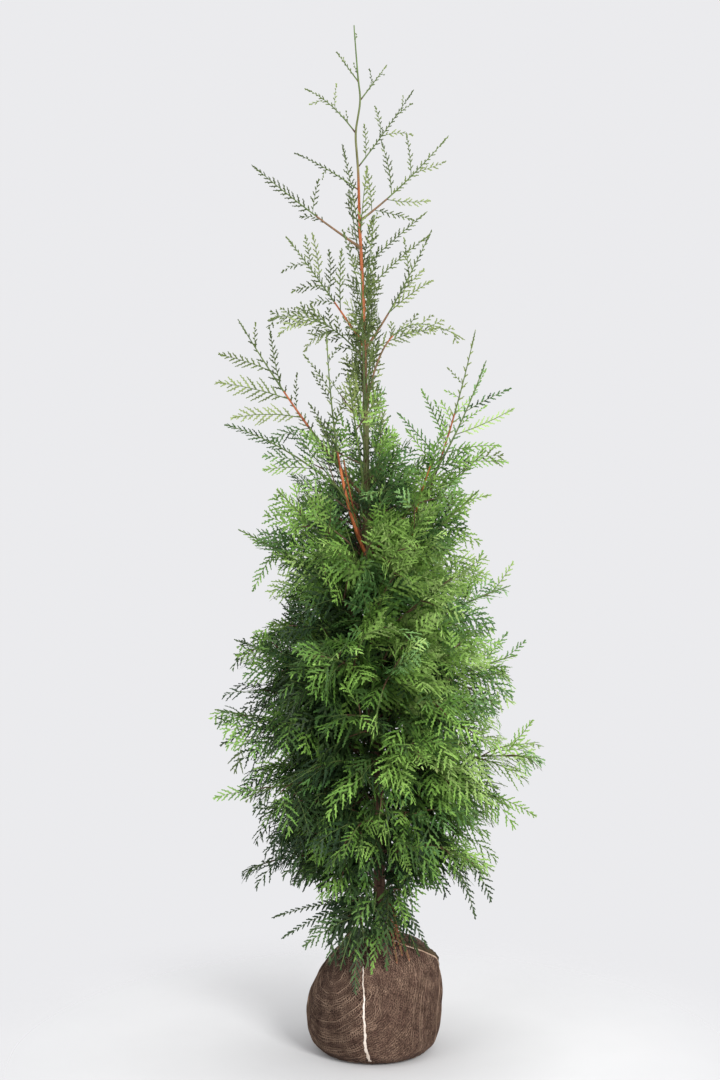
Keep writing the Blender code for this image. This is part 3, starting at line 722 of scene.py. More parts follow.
def twig_fronds(table, hang=0.0):
    """The fronds of a whole table of twigs."""
    made = [twig(parent, *row) for parent, *rows in table for row in rows]
    made = {key: np.array([one[key] for one in made]) for key in made[0]}
    made["hang"] = np.full(len(made["t"]), hang)
    return set_leafing(made, made["longest"])


twigs, red_twigs, side_twigs = (twig_fronds(table) for table in (TWIGS, RED_TWIGS, SIDE_TWIGS))
low_twigs = twig_fronds(LOW_TWIGS, 0.35)
dry_twigs = twig_fronds(DRY_TWIGS)
for group, weight in (
    (limb_fronds, 0.58), (arm_fronds, 0.58), (arm_tips, 0.4), (limb_tips, 0.25), (close_fronds, 0.2)
):
    face_out(group, weight)

SHORTEST_FROND = 0.012
HOLLOW_THINNING = 0.66
fronds = [limb_fronds, arm_fronds, arm_tips, limb_tips, airy_tips, twigs, close_fronds, feathers]
fronds += [red_twigs, low_twigs, dry_twigs, side_twigs]
# the kinds are the places in this list; only some are asked for by name
_, _, ARM_TIP, LIMB_TIP, AIRY_TIP, _, _, _, RED, _, DRY, _ = range(len(fronds))
for kind, group in enumerate(fronds):
    group["kind"] = np.full(len(group["root"]), kind)
fronds = join(fronds)
fine = clear_of_ball(fronds, 0.003) | (fronds["kind"] > RED)
fronds = pick(fronds, fine & (fronds["length"] > SHORTEST_FROND))
over = np.zeros(len(fronds["root"]), bool)
for box in HOLLOWS:
    over |= passes(fronds, box) & (dice.random(len(over)) < HOLLOW_THINNING)
for box in OPEN_PLACES:
    over |= passes(fronds, box)
fronds = pick(fronds, ~over | (fronds["kind"] > RED))
near_tips = all_at(fronds, 0.8)
low_enough = under_sky(near_tips, 0.02 + 0.025 * waves(8, 8, 20, 60)(near_tips))
fronds = pick(fronds, low_enough | (fronds["kind"] > ARM_TIP))

# the bough that shows its bark in the open stays free, also in front
BOUGH_CLEARANCE = 0.022
bough_places = at(limbs, np.full(20, NAMES.index("spire_left")), np.linspace(0.04, 0.62, 20))
clear = np.ones(len(fronds["root"]), bool)
for t in (0.2, 0.4, 0.6, 0.8, 1.0):
    away = all_at(fronds, t)[:, None] - bough_places
    away[:, :, 1] = np.maximum(away[:, :, 1], 0)
    clear &= np.linalg.norm(away, axis=2).min(axis=1) > BOUGH_CLEARANCE
fronds = pick(fronds, clear | (fronds["kind"] > LIMB_TIP))

# fewer sprays at the outside of the crown, least of all up its sides
near_tips = all_at(fronds, 0.9)
outer = outward(near_tips)[0] > 0.78
root_x, _, root_z = fronds["root"].T
airy_side = outer & (((root_z > 1.12) & (np.abs(root_x) > 0.07)) | ((root_z > 0.55) & (root_x > 0.17)))
inner_share = np.interp(root_z, (1.2, 1.28), (0, 0.32))
thinned = np.where(outer, np.where(airy_side, 0.52, 0.34) + 0.75 * clumps(near_tips), inner_share)
thinned = thinned > dice.random(len(outer))
fronds = pick(fronds, ~(thinned & (fronds["kind"] < LIMB_TIP)))

# Tone of each frond, with light and shade painted into it: lighter outside (younger growth, and
# painted shade on the sprays deep inside), lighter up and to the right and darker on the left (painted
# light from above and from the right, painted shade on the left), darker in some bands, and by chance
middle = all_at(fronds, 0.6)
out_share = outward(middle)[0]
middle_x, _, middle_z = middle.T
n = len(middle)
spray = fronds["kind"] < AIRY_TIP
# the outermost sprays are looser
fronds["gap"] = np.where((out_share > 0.82) & spray, 1.10, 1.0) * fronds["gap"]
fronds["tone"] = (
    fronds["tone"]
    + 0.42 * out_share
    + 0.26 * np.clip((middle_z - 0.3) / 0.9, 0, 1)
    + 0.16 * middle_x / 0.35
    + 0.10 * waves(5, 14, 8, 26)(middle)
    + 0.16 * np.interp(middle_z, (1.25, 1.4, 1.75, 1.9), (0, 1, 1, 0)) * (1 - out_share)
    - 0.24 * np.interp(middle_z, (1.15, 1.35, 1.55), (0, 1, 0.5))
    - 0.16 * np.interp(middle_x, (-0.22, -0.06), (1, 0))
    - 0.10 * np.interp(middle_z, (0.45, 0.75), (1, 0))
    + dice.normal(0, 0.13, n)
)
# The colour group of each frond, in the order of the tables of colours below
IN_GREEN, IN_OLIVE, IN_BLUISH, IN_DRY = range(4)
in_the_open = middle_z + dice.normal(0, 0.03, n) > np.interp(middle_x, (-0.1, 0.1), (1.38, 1.52))
in_the_open |= (out_share > 0.93) & spray & (dice.random(n) < 0.35)
# bluish patches: frond undersides, and painted sheen of the leaves
bluish = waves(13, 14, 20, 60)(middle) + dice.normal(0, 0.3, n) > 0.62
frond_group = np.select(
    (fronds["kind"] == DRY, in_the_open, bluish), (IN_DRY, IN_OLIVE, IN_BLUISH), IN_GREEN
)

# Pinnae: side twigs of the fronds, and the fronds' own tips
PINNA_SHAPE = np.array(((0, 0.45), (0.12, 0.72), (0.3, 1.0), (0.5, 0.9), (0.75, 0.58), (1, 0.16)))


def pinna_length(i, t):
    uneven = np.where(in_the_open[i], 1.7, 1.0)
    by_chance = 0.92 + uneven * dice.uniform(-0.20, 0.18, len(i))
    return np.maximum(0.0035, fronds["wide"][i] * look_up(PINNA_SHAPE, t)) * by_chance


pinnae, frond_of = side_axes(
    fronds, fronds["gap"], first=0.10, last=0.985, angle=48, tilt=14, length_of=pinna_length,
    sweep=0.20, hang=np.clip(fronds["hang"], 0, 1) * 0.6 + 0.02, jitter=0.18,
)
for key in ("leaf", "leaf_gap"):
    pinnae[key] = fronds[key][frond_of]
frond_ends = end_of(fronds, 0.86)
frond_ends["t"] = np.full(len(fronds["root"]), 0.95)
pinnae = join([pinnae, frond_ends])
pinna_group = np.concatenate([frond_group[frond_of], frond_group])
pinna_kept = clear_of_ball(pinnae, 0.001) | (pinna_group == IN_DRY)
# the trunk shows between the sprays at some heights
BARE_HEIGHTS = ((1.27, 1.40), (1.44, 1.60), (1.66, 1.86), (1.92, 2.00))
for t in (0.2, 0.6, 1.0):
    place = all_at(pinnae, t)
    beside = place - trunk_at(place[:, 2])
    over = (np.abs(beside[:, 0]) < 0.008) & (beside[:, 1] < 0)
    for low, high in BARE_HEIGHTS:
        pinna_kept &= ~(over & (place[:, 2] > low) & (place[:, 2] < high))
pinnae, pinna_group = pick(pinnae, pinna_kept), pinna_group[pinna_kept]

# Branchlets: scale-leaved, both sides of each pinna
LEAF_SHAPE = np.array(((0, 0.55), (0.3, 1.0), (0.6, 0.85), (1, 0.42)))


def leaf_length(i, t):
    longest = np.minimum(pinnae["leaf"][i], 0.26 * pinnae["length"][i] + 0.0022)
    return longest * look_up(LEAF_SHAPE, t) * dice.uniform(0.8, 1.12, len(i))


leaves, pinna_of = side_axes(
    pinnae, pinnae["leaf_gap"], first=0.06, last=0.97, angle=42, tilt=16, length_of=leaf_length,
    sweep=0.0, hang=0.0, jitter=0.15,
)

# ---- making meshes


def grid_faces(rows, columns, wrap=True):
    """Quads between neighbouring rows of points; wrap closes each row."""
    i, s = np.meshgrid(np.arange(rows - 1), np.arange(columns - (not wrap)), indexing="ij")
    low, beside = i * columns + s, i * columns + (s + 1) % columns
    return np.stack([low, beside, beside + columns, low + columns], -1).reshape(-1, 4)


class Faces:
    """Points and faces of a mesh, added in blocks."""

    def __init__(self):
        self.points, self.faces, self.count = [], [], 0

    def add(self, points, faces):
        self.points.append(points.reshape(-1, 3))
        self.faces.append(faces + self.count)
        self.count += len(self.points[-1])

    def sheet(self, points, wrap=True):
        """A surface over rows of points."""
        self.add(points, grid_faces(*points.shape[:2], wrap))

    def cap(self, ring, middle):
        """A fan from a ring of points to its middle."""
        n = len(ring)
        fan = np.stack([np.arange(n), (np.arange(n) + 1) % n, np.full(n, n)], -1)
        self.add(np.concatenate([ring, [middle]]), fan)

    def each(self, rows, quads):
        """The same faces on each of many small shapes, from rows of their points."""
        points = np.stack(rows, axis=1)
        base = np.arange(len(points))[:, None] * points.shape[1]
        self.add(points, np.concatenate([base + corners for corners in quads]))

    def mesh(self, name, smooth, push):
        points = np.concatenate(self.points)
        if push:
            points = push_off_ball(points)
        mesh = bpy.data.meshes.new(name)
        mesh.vertices.add(len(points))
        mesh.vertices.foreach_set("co", points.astype(np.float32).ravel())
        loops = np.concatenate([f.ravel() for f in self.faces])
        sizes = np.concatenate([np.full(len(f), f.shape[1]) for f in self.faces])
        mesh.loops.add(len(loops))
        mesh.loops.foreach_set("vertex_index", loops.astype(np.int32))
        mesh.polygons.add(len(sizes))
        mesh.polygons.foreach_set("loop_start", (np.cumsum(sizes) - sizes).astype(np.int32))
        mesh.update(calc_edges=True)
        if smooth:
            mesh.shade_smooth()
        return mesh


def ribbon_quads(steps):
    """The faces of a ribbon whose points come in pairs."""
    return [(2 * k, 2 * k + 2, 2 * k + 3, 2 * k + 1) for k in range(steps)]


def ring_round(centre, across, out, radius, sides):
    """Points round a line, in the plane of two directions."""
    turns = [2 * np.pi * s / sides for s in range(sides)]
    return [centre + (across * math.cos(turn) + out * math.sin(turn)) * radius for turn in turns]


def kites(block, leaves, width):
    """One folded kite, two triangles, for each branchlet."""
    length = column(leaves["length"])
    direction = unit(leaves["a"])
    across = np.cross(leaves["normal"], direction)
    half = column(width) / 2
    root = leaves["root"] - direction * 0.0008
    middle = root + direction * length * 0.42 - leaves["normal"] * half * 0.35
    tip = root + direction * length
    block.each([root, middle + across * half, tip, middle - across * half], [(0, 3, 2), (0, 2, 1)])


def strips(block, axes, width, steps=2):
    """A flat, tapering ribbon along each axis."""
    every = np.arange(len(axes["root"]))
    rows = []
    for k in range(steps + 1):
        t = np.full(len(every), k / steps)
        direction = along(axes, every, t)
        across = np.cross(square(axes["normal"], direction), direction)
        half = column(width) / 2 * (1 - 0.62 * k / steps)
        centre = at(axes, every, t)
        rows += [centre - across * half, centre + across * half]
    block.each(rows, ribbon_quads(steps))


def tubes(block, axes, start, end, foot, tip, sides, steps):
    """A tube along a stretch of each axis; its radius runs from foot to tip."""
    every = np.arange(len(axes["root"]))
    rings = []
    for share in np.arange(steps + 1) / steps:
        t = np.ones(len(every)) * (start + (end - start) * share)
        direction = along(axes, every, t)
        normal = square(axes["normal"], direction)
        radius = column(np.broadcast_to(foot + (tip - foot) * share, len(every)))
        rings += ring_round(at(axes, every, t), np.cross(normal, direction), normal, radius, sides)
    sides_of = [(k * sides, s, (s + 1) % sides) for k in range(steps) for s in range(sides)]
    block.each(rings, [(k + a, k + b, k + b + sides, k + a + sides) for k, a, b in sides_of])


CLOTH_THICKNESS = 0.0045


def push_off_ball(points):
    """Moves points that would lie in the ball to just outside its cloth."""
    radius = from_middle(points)
    wanted = cloth_radius(points) + CLOTH_THICKNESS
    near = inside_ball(points, CLOTH_THICKNESS) & (radius > 0.05)
    scale = np.minimum(np.where(near, wanted / np.maximum(radius, 1e-6), 1), 1.25)
    points = points * np.stack([scale, scale, np.ones(len(scale))], axis=1)
    low, high = np.array(cad_low) - 0.010, np.array(cad_high) + (0.010, 0.010, -0.001)
    return np.clip(points, low, high)


# ---- materials


class Nodes:
    """A short way to write a material's nodes."""

    def __init__(self, name, roughness, specular):
        self.material = bpy.data.materials.new(name)
        self.material.use_nodes = True
        self.tree = self.material.node_tree
        self.shader = self.tree.nodes["Principled BSDF"]
        self.put(self.shader, {"Roughness": roughness, "Specular IOR Level": specular})
        self.place = self.new("TexCoord").outputs["Object"]

    def put(self, node, inputs):
        """Sets a node's inputs to values, or links them to outputs."""
        for key, value in inputs.items():
            if isinstance(value, bpy.types.NodeSocket):
                self.tree.links.new(value, node.inputs[key])
            else:
                node.inputs[key].default_value = value

    def new(self, kind, inputs=None, **settings):
        node = self.tree.nodes.new("ShaderNode" + kind)
        for key, value in settings.items():
            setattr(node, key, value)
        self.put(node, inputs or {})
        return node

    def noise(self, scale, detail, stretch=None):
        place = self.place
        if stretch:
            place = self.new("Mapping", {"Scale": stretch, "Vector": place}).outputs["Vector"]
        return self.new("TexNoise", {"Scale": scale, "Detail": detail, "Vector": place}).outputs["Fac"]

    def ramp(self, value, *stops):
        node = self.new("ValToRGB", {"Fac": value})
        elements = node.color_ramp.elements
        while len(elements) < len(stops):
            elements.new(0.5)
        for element, (position, colour) in zip(elements, stops):
            element.position = position
            element.color = (*colour, 1)
        return node.outputs["Color"]

    def maths(self, operation, a, b=0.0, clamp=False):
        return self.new("Math", {0: a, 1: b}, operation=operation, use_clamp=clamp).outputs[0]

    def across(self, colour, low, high, dark):
        """A colour that darkens towards low x, the left side: painted shade away from the key light."""
        x = self.new("SeparateXYZ", {0: self.place}).outputs["X"]
        span = {"From Min": low, "From Max": high, "To Min": dark, "To Max": 1, "Value": x}
        reach = self.new("MapRange", span, interpolation_type="SMOOTHSTEP").outputs["Result"]
        return self.new("VectorMath", {0: colour, "Scale": reach}, operation="SCALE").outputs["Vector"]

    def mix(self, factor, a, b, blend="MIX"):
        node = self.new("Mix", data_type="RGBA", blend_type=blend)
        self.put(node, {"Factor": factor, 6: a, 7: b})
        return node.outputs[2]

    def finish(self, colour, height=None, strength=0.0, distance=0.0):
        self.put(self.shader, {"Base Color": colour})
        if height is not None:
            bump = self.new("Bump", {"Strength": strength, "Distance": distance, "Height": height})
            self.put(self.shader, {"Normal": bump.outputs["Normal"]})
        return self.material


def leaf_material(name, colour):
    nodes = Nodes(name, 0.5, 0.22)
    low, high = (tuple(min(1, c * share) for c in colour) for share in (0.74, 1.26))
    shade = nodes.ramp(nodes.noise(38, 3), (0.34, low), (0.5, colour), (0.68, high))
    return nodes.finish(shade, nodes.noise(900, 1), strength=0.35, distance=0.0006)


def stem_material(name, low, high):
    nodes = Nodes(name, 0.6, 0.3)
    stretch = (1, 1, 0.25)
    shade = nodes.ramp(nodes.noise(120, 3, stretch), (0.32, low), (0.7, high))
    return nodes.finish(shade, nodes.noise(700, 2, stretch), strength=0.4, distance=0.0005)


def add_piece(name, block, material, replaced, smooth=True, push=False):
    mesh = block.mesh(name, smooth, push)
    piece = bpy.data.objects.new(name, mesh)
    bpy.context.scene.collection.objects.link(piece)
    mesh.materials.append(material)
    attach(piece, "root")
    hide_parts(*replaced)


FOLIAGE_NODES = [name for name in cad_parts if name.startswith("foliage_")]
BARK_NODES = ["trunk"] + [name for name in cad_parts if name.startswith("bough_")]
BALL_NODES = ["root_ball"]

# ---- foliage

# Triangles that one piece holds at most
PIECE_LIMIT = 185_000
# Colours of each group of fronds from dark to light, and each one's share of the group: greens
# from painted shade inside the crown and on the left to young tips and painted light outside, up and
# to the right, duller sprays in the open, bluish undersides with painted sheen
TONES = (
    (
        ("deep", (0.018, 0.040, 0.011), 0.18), ("shade", (0.045, 0.096, 0.022), 0.20),
        ("mid", (0.098, 0.202, 0.035), 0.22), ("fresh_and_lit", (0.164, 0.302, 0.056), 0.21),
        ("bright", (0.228, 0.380, 0.084), 0.14), ("tips", (0.296, 0.430, 0.130), 0.05),
    ), (
        ("olive_deep", (0.046, 0.068, 0.016), 0.40), ("olive", (0.098, 0.136, 0.034), 0.38),
        ("olive_pale", (0.180, 0.230, 0.070), 0.22),
    ), (
        ("cool_deep", (0.017, 0.041, 0.014), 0.42), ("cool", (0.064, 0.146, 0.038), 0.38),
        ("cool_pale", (0.150, 0.280, 0.088), 0.20),
    ), (
        ("dry", (0.190, 0.075, 0.040), 1.0),
    ),
)
LEAF_TONES = [tone for group in TONES for tone in group]
pinna_tone = pinnae["tone"] + 0.10 * (pinnae["t"] - 0.5) + dice.normal(0, 0.03, len(pinnae["t"]))
pinna_colour = np.zeros(len(pinna_tone), int)
for group, tones in enumerate(TONES):
    mine = pinna_group == group
    edges = np.quantile(pinna_tone[mine], np.cumsum([share for _, _, share in tones])[:-1])
    pinna_colour[mine] = LEAF_TONES.index(tones[0]) + np.searchsorted(edges, pinna_tone[mine])

# the shaded sprays inside are drawn a little larger, as fewer stand for more
stout = np.interp(outward(pinnae["root"])[0], (0.35, 0.60), (1.9, 1.0))
stout = 1 + (stout - 1) * np.interp(pinnae["root"][:, 2], (1.08, 1.20), (1, 0))
leaf_width = (0.0023 + 0.25 * leaves["length"]) * stout[pinna_of]
pinna_width = np.interp(pinnae["root"][:, 2], (0.9, 1.6, 2.0), (0.0043, 0.0040, 0.0035)) * stout
for k, (name, colour, _) in enumerate(LEAF_TONES):
    mine = np.flatnonzero(pinna_colour == k)
    leaf_mine = np.flatnonzero(pinna_colour[pinna_of] == k)
    parts = max(1, math.ceil((4 * len(mine) + 2 * len(leaf_mine)) / PIECE_LIMIT))
    material = leaf_material("leaf_" + name, colour)
    for part in range(parts):
        block = Faces()
        some = mine[mine % parts == part]
        strips(block, pick(pinnae, some), pinna_width[some])
        some = leaf_mine[pinna_of[leaf_mine] % parts == part]
        kites(block, pick(leaves, some), leaf_width[some])
        label = f"foliage_{name}" + (f"_{part + 1}" if parts > 1 else "")
        add_piece(label, block, material, FOLIAGE_NODES, smooth=False, push=True)

# ---- stems


def limb_radii(axes, share):
    foot = np.clip(0.0085 * axes["length"], 0.0019, 0.0046)
    return foot * (1 - np.where(airy[axes["limb"]], 0.80, 0.62) * share)


green_stems, red_stems, brown_stems = Faces(), Faces(), Faces()
# Limbs with a stretch of red bark, from one share of them to another
RED_STRETCHES = {
    "spire_left": (0.50, 0.57), "spire_right": (0.62, 0.75), "arm_left": (0.45, 0.64),
    "fan_left": (0.30, 0.38), "plume_right": (0.40, 0.46),
}
red_start, red_end = np.array([RED_STRETCHES.get(name, (0, 0)) for name in names], float).T
woody_start = limbs["bare"] * 0.98
woody_end = np.interp(limbs["root"][:, 2], (0.9, 1.1, 1.2, 1.8), (0.60, 0.40, 0.12, 0.05))
woody_end = np.where(red_end > 0, red_start, np.maximum(woody_end, woody_start + 0.02))
woody_end = np.maximum(woody_end, woody_start)
green_start = np.maximum(woody_end, red_end)
for block, chosen, start, end, sides, steps in (
    (brown_stems, woody_end > woody_start + 0.01, woody_start, woody_end, 6, 10),
    (red_stems, red_end > 0, red_start, red_end, 6, 10),
    (green_stems, green_start > 0, green_start, np.full(len(names), 0.995), 5, 7),
):
    some, start, end = pick(limbs, chosen), start[chosen], end[chosen]
    tubes(block, some, start, end, limb_radii(some, start), limb_radii(some, end), sides, steps)
tubes(brown_stems, arms, 0, 0.5, foot=0.0017, tip=0.0012, sides=5, steps=3)
tubes(green_stems, arms, 0.5, 0.99, foot=0.0012, tip=0.0006, sides=4, steps=3)
red_axes = pick(fronds, fronds["kind"] == RED)
tubes(red_stems, red_axes, 0, 0.97, foot=0.0026, tip=0.0016, sides=6, steps=8)
stalks = pick(fronds, ~np.isin(fronds["kind"], (ARM_TIP, LIMB_TIP, AIRY_TIP, RED)))
stalk_foot = np.clip(0.0105 * stalks["length"], 0.0008, 0.0015)
tubes(green_stems, stalks, 0, 0.97, foot=stalk_foot, tip=stalk_foot * 0.45, sides=3, steps=3)
for name, block, low, high in (
    ("stems_green", green_stems, (0.060, 0.095, 0.026), (0.120, 0.170, 0.045)),
    ("stems_red", red_stems, (0.240, 0.060, 0.022), (0.420, 0.130, 0.045)),
    ("stems_brown", brown_stems, (0.050, 0.026, 0.015), (0.130, 0.070, 0.040)),
):
    add_piece(name, block, stem_material(name, low, high), FOLIAGE_NODES, push=True)

# ---- trunk

TRUNK_SIDES = 24
TRUNK_ROWS = 330
bark_wide = waves(31, 10, 60, 150)
bark_fine = waves(32, 16, 260, 620)


def bark_relief(turn, height):
    """Stringy ridges that run up the bark, higher on the older wood, as shares of its radius."""
    twisted = np.stack([np.cos(turn) * 0.02, np.sin(turn) * 0.02, height * 0.06], axis=-1)
    ridges = bark_wide(twisted * 6) * 0.5 + bark_fine(twisted * 3) * 0.5
    return 0.11 * ridges * np.interp(height, (0.3, 1.2, 1.8), (1.0, 0.7, 0.35))


def turns_round(sides):
    return 2 * np.pi * np.arange(sides) / sides


def make_bark():
    """The trunk: ridged, wider at its foot and closed at its tip."""
    block = Faces()
    height = np.linspace(BALL_HEIGHT - 0.004, TREE_HEIGHT, TRUNK_ROWS)
    middle = smoothed_points(trunk_at(height)[:, :2], 3)
    h, u = np.meshgrid(height, turns_round(TRUNK_SIDES), indexing="ij")
    roots = np.exp(-np.clip(h - BALL_HEIGHT, 0, 1) / 0.022)
    radius = look_up(TRUNK_GIRTH, h) * (1 + 0.28 * roots * np.cos(4 * u + 0.6 * np.sin(u * 2)))
    radius = radius * (1 + bark_relief(u, h))
    points = np.stack([middle[:, :1] + radius * np.cos(u), middle[:, 1:] + radius * np.sin(u), h], -1)
    block.sheet(points)
    block.cap(points[-1], (*middle[-1], TREE_HEIGHT + 0.0004))
    return block


RED_BOUGHS = ("spire_left", "spire_right", "fan_left")
BOUGH_ROWS = 60
BOUGH_SIDES = 12


def make_boughs(chosen):
    """The bare boughs, with a collar where they leave the trunk."""
    block = Faces()
    for k in chosen:
        one = pick(limbs, np.full(BOUGH_ROWS, k))
        share = np.linspace(0, limbs["bare"][k], BOUGH_ROWS)
        every = np.arange(BOUGH_ROWS)
        direction = along(one, every, share)
        normal = square(one["normal"], direction)
        across = np.cross(normal, direction)
        reach = share * one["length"]
        girth = limb_radii(one, 0) * (1 - 0.62 * share) * (1 + 0.8 * np.exp(-reach / 0.012))
        u, r = np.meshgrid(turns_round(BOUGH_SIDES), reach)
        grain = bark_fine(np.stack([np.cos(u), np.sin(u), r * 3], -1) * 0.03)
        ring = across[:, None] * np.cos(u)[..., None] + normal[:, None] * np.sin(u)[..., None]
        girth = girth[:, None] * (1 + 0.07 * grain)
        block.sheet(at(one, every, share)[:, None] + ring * girth[..., None])
    return block


def bark_material():
    """Streaky bark whose colour changes up the trunk."""
    nodes = Nodes("bark", 0.75, 0.25)
    z = nodes.new("SeparateXYZ", {0: nodes.place}).outputs["Z"]
    height = nodes.maths("ADD", z, nodes.maths("MULTIPLY", nodes.noise(60, 4, (1, 1, 0.12)), 0.08))
    # brown at the foot, green where the leader starts, orange above, green at the top
    light = nodes.ramp(
        nodes.maths("DIVIDE", height, 2.4),
        (0.12, (0.130, 0.072, 0.046)), (0.40, (0.105, 0.062, 0.038)), (0.50, (0.130, 0.130, 0.050)),
        (0.61, (0.130, 0.145, 0.055)), (0.66, (0.180, 0.100, 0.055)), (0.71, (0.400, 0.130, 0.055)),
        (0.83, (0.500, 0.150, 0.055)), (0.86, (0.170, 0.170, 0.070)), (0.95, (0.120, 0.190, 0.060)),
    )
    streak = nodes.noise(420, 4, (1, 1, 0.06))
    dark = nodes.ramp(streak, (0.36, (0.35, 0.30, 0.28)), (0.60, (1.0, 1.0, 1.0)))
    shade = nodes.mix(0.75, light, dark, "MULTIPLY")
    return nodes.finish(shade, streak, strength=0.6, distance=0.0012)


add_piece("bark_trunk", make_bark(), bark_material(), BARK_NODES)
bare_limbs = np.flatnonzero(limbs["bare"] > 0)
for name, red, low, high in (
    ("boughs_red", True, (0.300, 0.070, 0.025), (0.540, 0.165, 0.055)),
    ("boughs_brown", False, (0.110, 0.075, 0.035), (0.230, 0.120, 0.060)),
):
    block = make_boughs([k for k in bare_limbs if (NAMES[k] in RED_BOUGHS) == red])
    add_piece(name, block, stem_material(name, low, high), BARK_NODES)

# ---- root ball

BALL_TURNS = 330
BALL_ROWS = 132
dents = waves(41, 14, 18, 46)
creases = waves(42, 18, 60, 150)
SWIRL_LEFT = np.array((-0.088, -0.080, 0.205))
SWIRL_RIGHT = np.array((-0.024, -0.139, 0.150))
# The pale selvage down the front: height and x of its middle
STRIP = np.array((
    (0.006, -0.012), (0.022, -0.015), (0.055, -0.019), (0.110, -0.021), (0.165, -0.024),
    (0.215, -0.030), (0.244, -0.033),
))


def ball_relief(points, azimuth, height):
    """How far the cloth stands off the smooth ball."""
    level = np.hypot(points[..., 0] - 0.012, points[..., 1])
    gather = np.exp(-((level - 0.035) / 0.045) ** 2) * np.clip((height - 0.19) / 0.05, 0, 1)
    pleats = np.sin(17 * azimuth + 2.5 * dents(points * 1.4)) * 0.6 + np.sin(31 * azimuth + 1.3) * 0.3
    front = (points[..., 1] < 0) & (height > 0.004)
    seam = np.exp(-((points[..., 0] - look_up(STRIP, height)) / 0.007) ** 2) * front
    relief = 0.0022 * dents(points) + 0.0011 * creases(points)
    relief = relief + 0.0038 * gather * pleats - 0.0022 * seam
    return relief * np.clip(height / 0.03, 0.15, 1)


def between(rows, places):
    """Rows of a table at places between them, counted from 0."""
    return np.stack([np.interp(places, np.arange(len(rows)), values) for values in rows.T], -1)


def ball_grid():
    """The ball's cloth: points over azimuth and along the profile, from under it to the trunk."""
    rows = len(BALL_PROFILE)
    soft = smoothed_points(between(BALL_PROFILE, np.linspace(0, rows - 1, 40 * rows)), 14)
    soft[:, 0] = np.clip(soft[:, 0], 0, BALL_HEIGHT)
    arc = np.concatenate([[0], np.cumsum(np.hypot(np.diff(soft[:, 0]), np.diff(soft[:, 1])))])
    places = np.linspace(0, arc[-1], BALL_ROWS)
    under = [(0, 0.0005, 0), (0, 0.05, 0), (0, 0.085, 0)]
    rows = np.stack([np.interp(places, arc, values) for values in soft.T], axis=-1)
    heights, means, offsets = np.concatenate([under, rows, [(BALL_HEIGHT + 0.002, 0.014, 0)]]).T
    h, u = np.meshgrid(heights, turns_round(BALL_TURNS), indexing="ij")
    r = lumpy(h, u, means[:, None], offsets[:, None])
    r[-1] = 0.012
    centre_x = np.interp(h, (0.22, BALL_HEIGHT), (0, 0.012)) * (h > 0.2)
    points = np.stack([r * np.cos(u) + centre_x, r * np.sin(u), h], axis=-1)
    round_it = np.roll(points, -1, axis=1) - np.roll(points, 1, axis=1)
    normal = unit(np.cross(round_it, np.gradient(points, axis=0)))
    normal *= np.sign(dot(normal, points - np.array((0, 0, 0.12))) + 1e-9)
    points = points + normal * ball_relief(points, u, h)[..., None]
    points[..., 2] = np.maximum(points[..., 2], 0)
    points[heights <= 0] *= (1, 1, 0)
    return points


def off_ball(points):
    """The directions of points from the ball's middle."""
    return unit(points - BALL_HEART)


def onto_ball(points, lift):
    """The places on the cloth that points of space lie over, seen from the ball's middle."""
    direction = off_ball(points)
    low, high = np.zeros(len(points)), np.full(len(points), 0.3)
    for _ in range(22):
        middle = (low + high) / 2
        place = BALL_HEART + direction * column(middle)
        inside = from_middle(place) < cloth_radius(place)
        inside &= (place[:, 2] < BALL_HEIGHT) & (place[:, 2] > 0)
        low, high = np.where(inside, middle, low), np.where(inside, high, middle)
    place = BALL_HEART + direction * column(low)
    return place + direction * column(ball_relief(place, azimuth_of(place), place[:, 2]) + lift)


def strand(block, points, radius, sides=3):
    """A thin thread through points on the cloth."""
    if len(points) < 3:
        return
    direction = unit(np.gradient(points, axis=0))
    across = unit(np.cross(off_ball(points), direction))
    out = np.cross(direction, across)
    block.sheet(np.stack(ring_round(points, across, out, radius, sides), axis=1))


SWIRL_REACH = 0.150


def swirl(centre, angle, phi):
    """Points over the ball at an angle from a gather, turned by phi round it."""
    out = off_ball(centre)
    side = unit(np.cross(out, UP))
    rise = np.cross(side, out)
    round_it = side * column(np.cos(phi)) + rise * column(np.sin(phi))
    return BALL_HEART + SWIRL_REACH * (out * column(np.cos(angle)) + round_it * column(np.sin(angle)))


def netted(points, side):
    """Which points lie on one side of the strip in front, and between the net's lower and upper edge."""
    seam_x = np.where(points[:, 1] < 0, look_up(STRIP, points[:, 2]), 0.02)
    return ((points[:, 0] - seam_x) * side > 0.001) & (points[:, 2] > 0.004) & (points[:, 2] < 0.256)


def runs(fine):
    """First and last place of each unbroken run of true values."""
    edges = np.flatnonzero(np.diff(np.concatenate([[0], fine.astype(int), [0]])))
    return zip(edges[::2], edges[1::2])


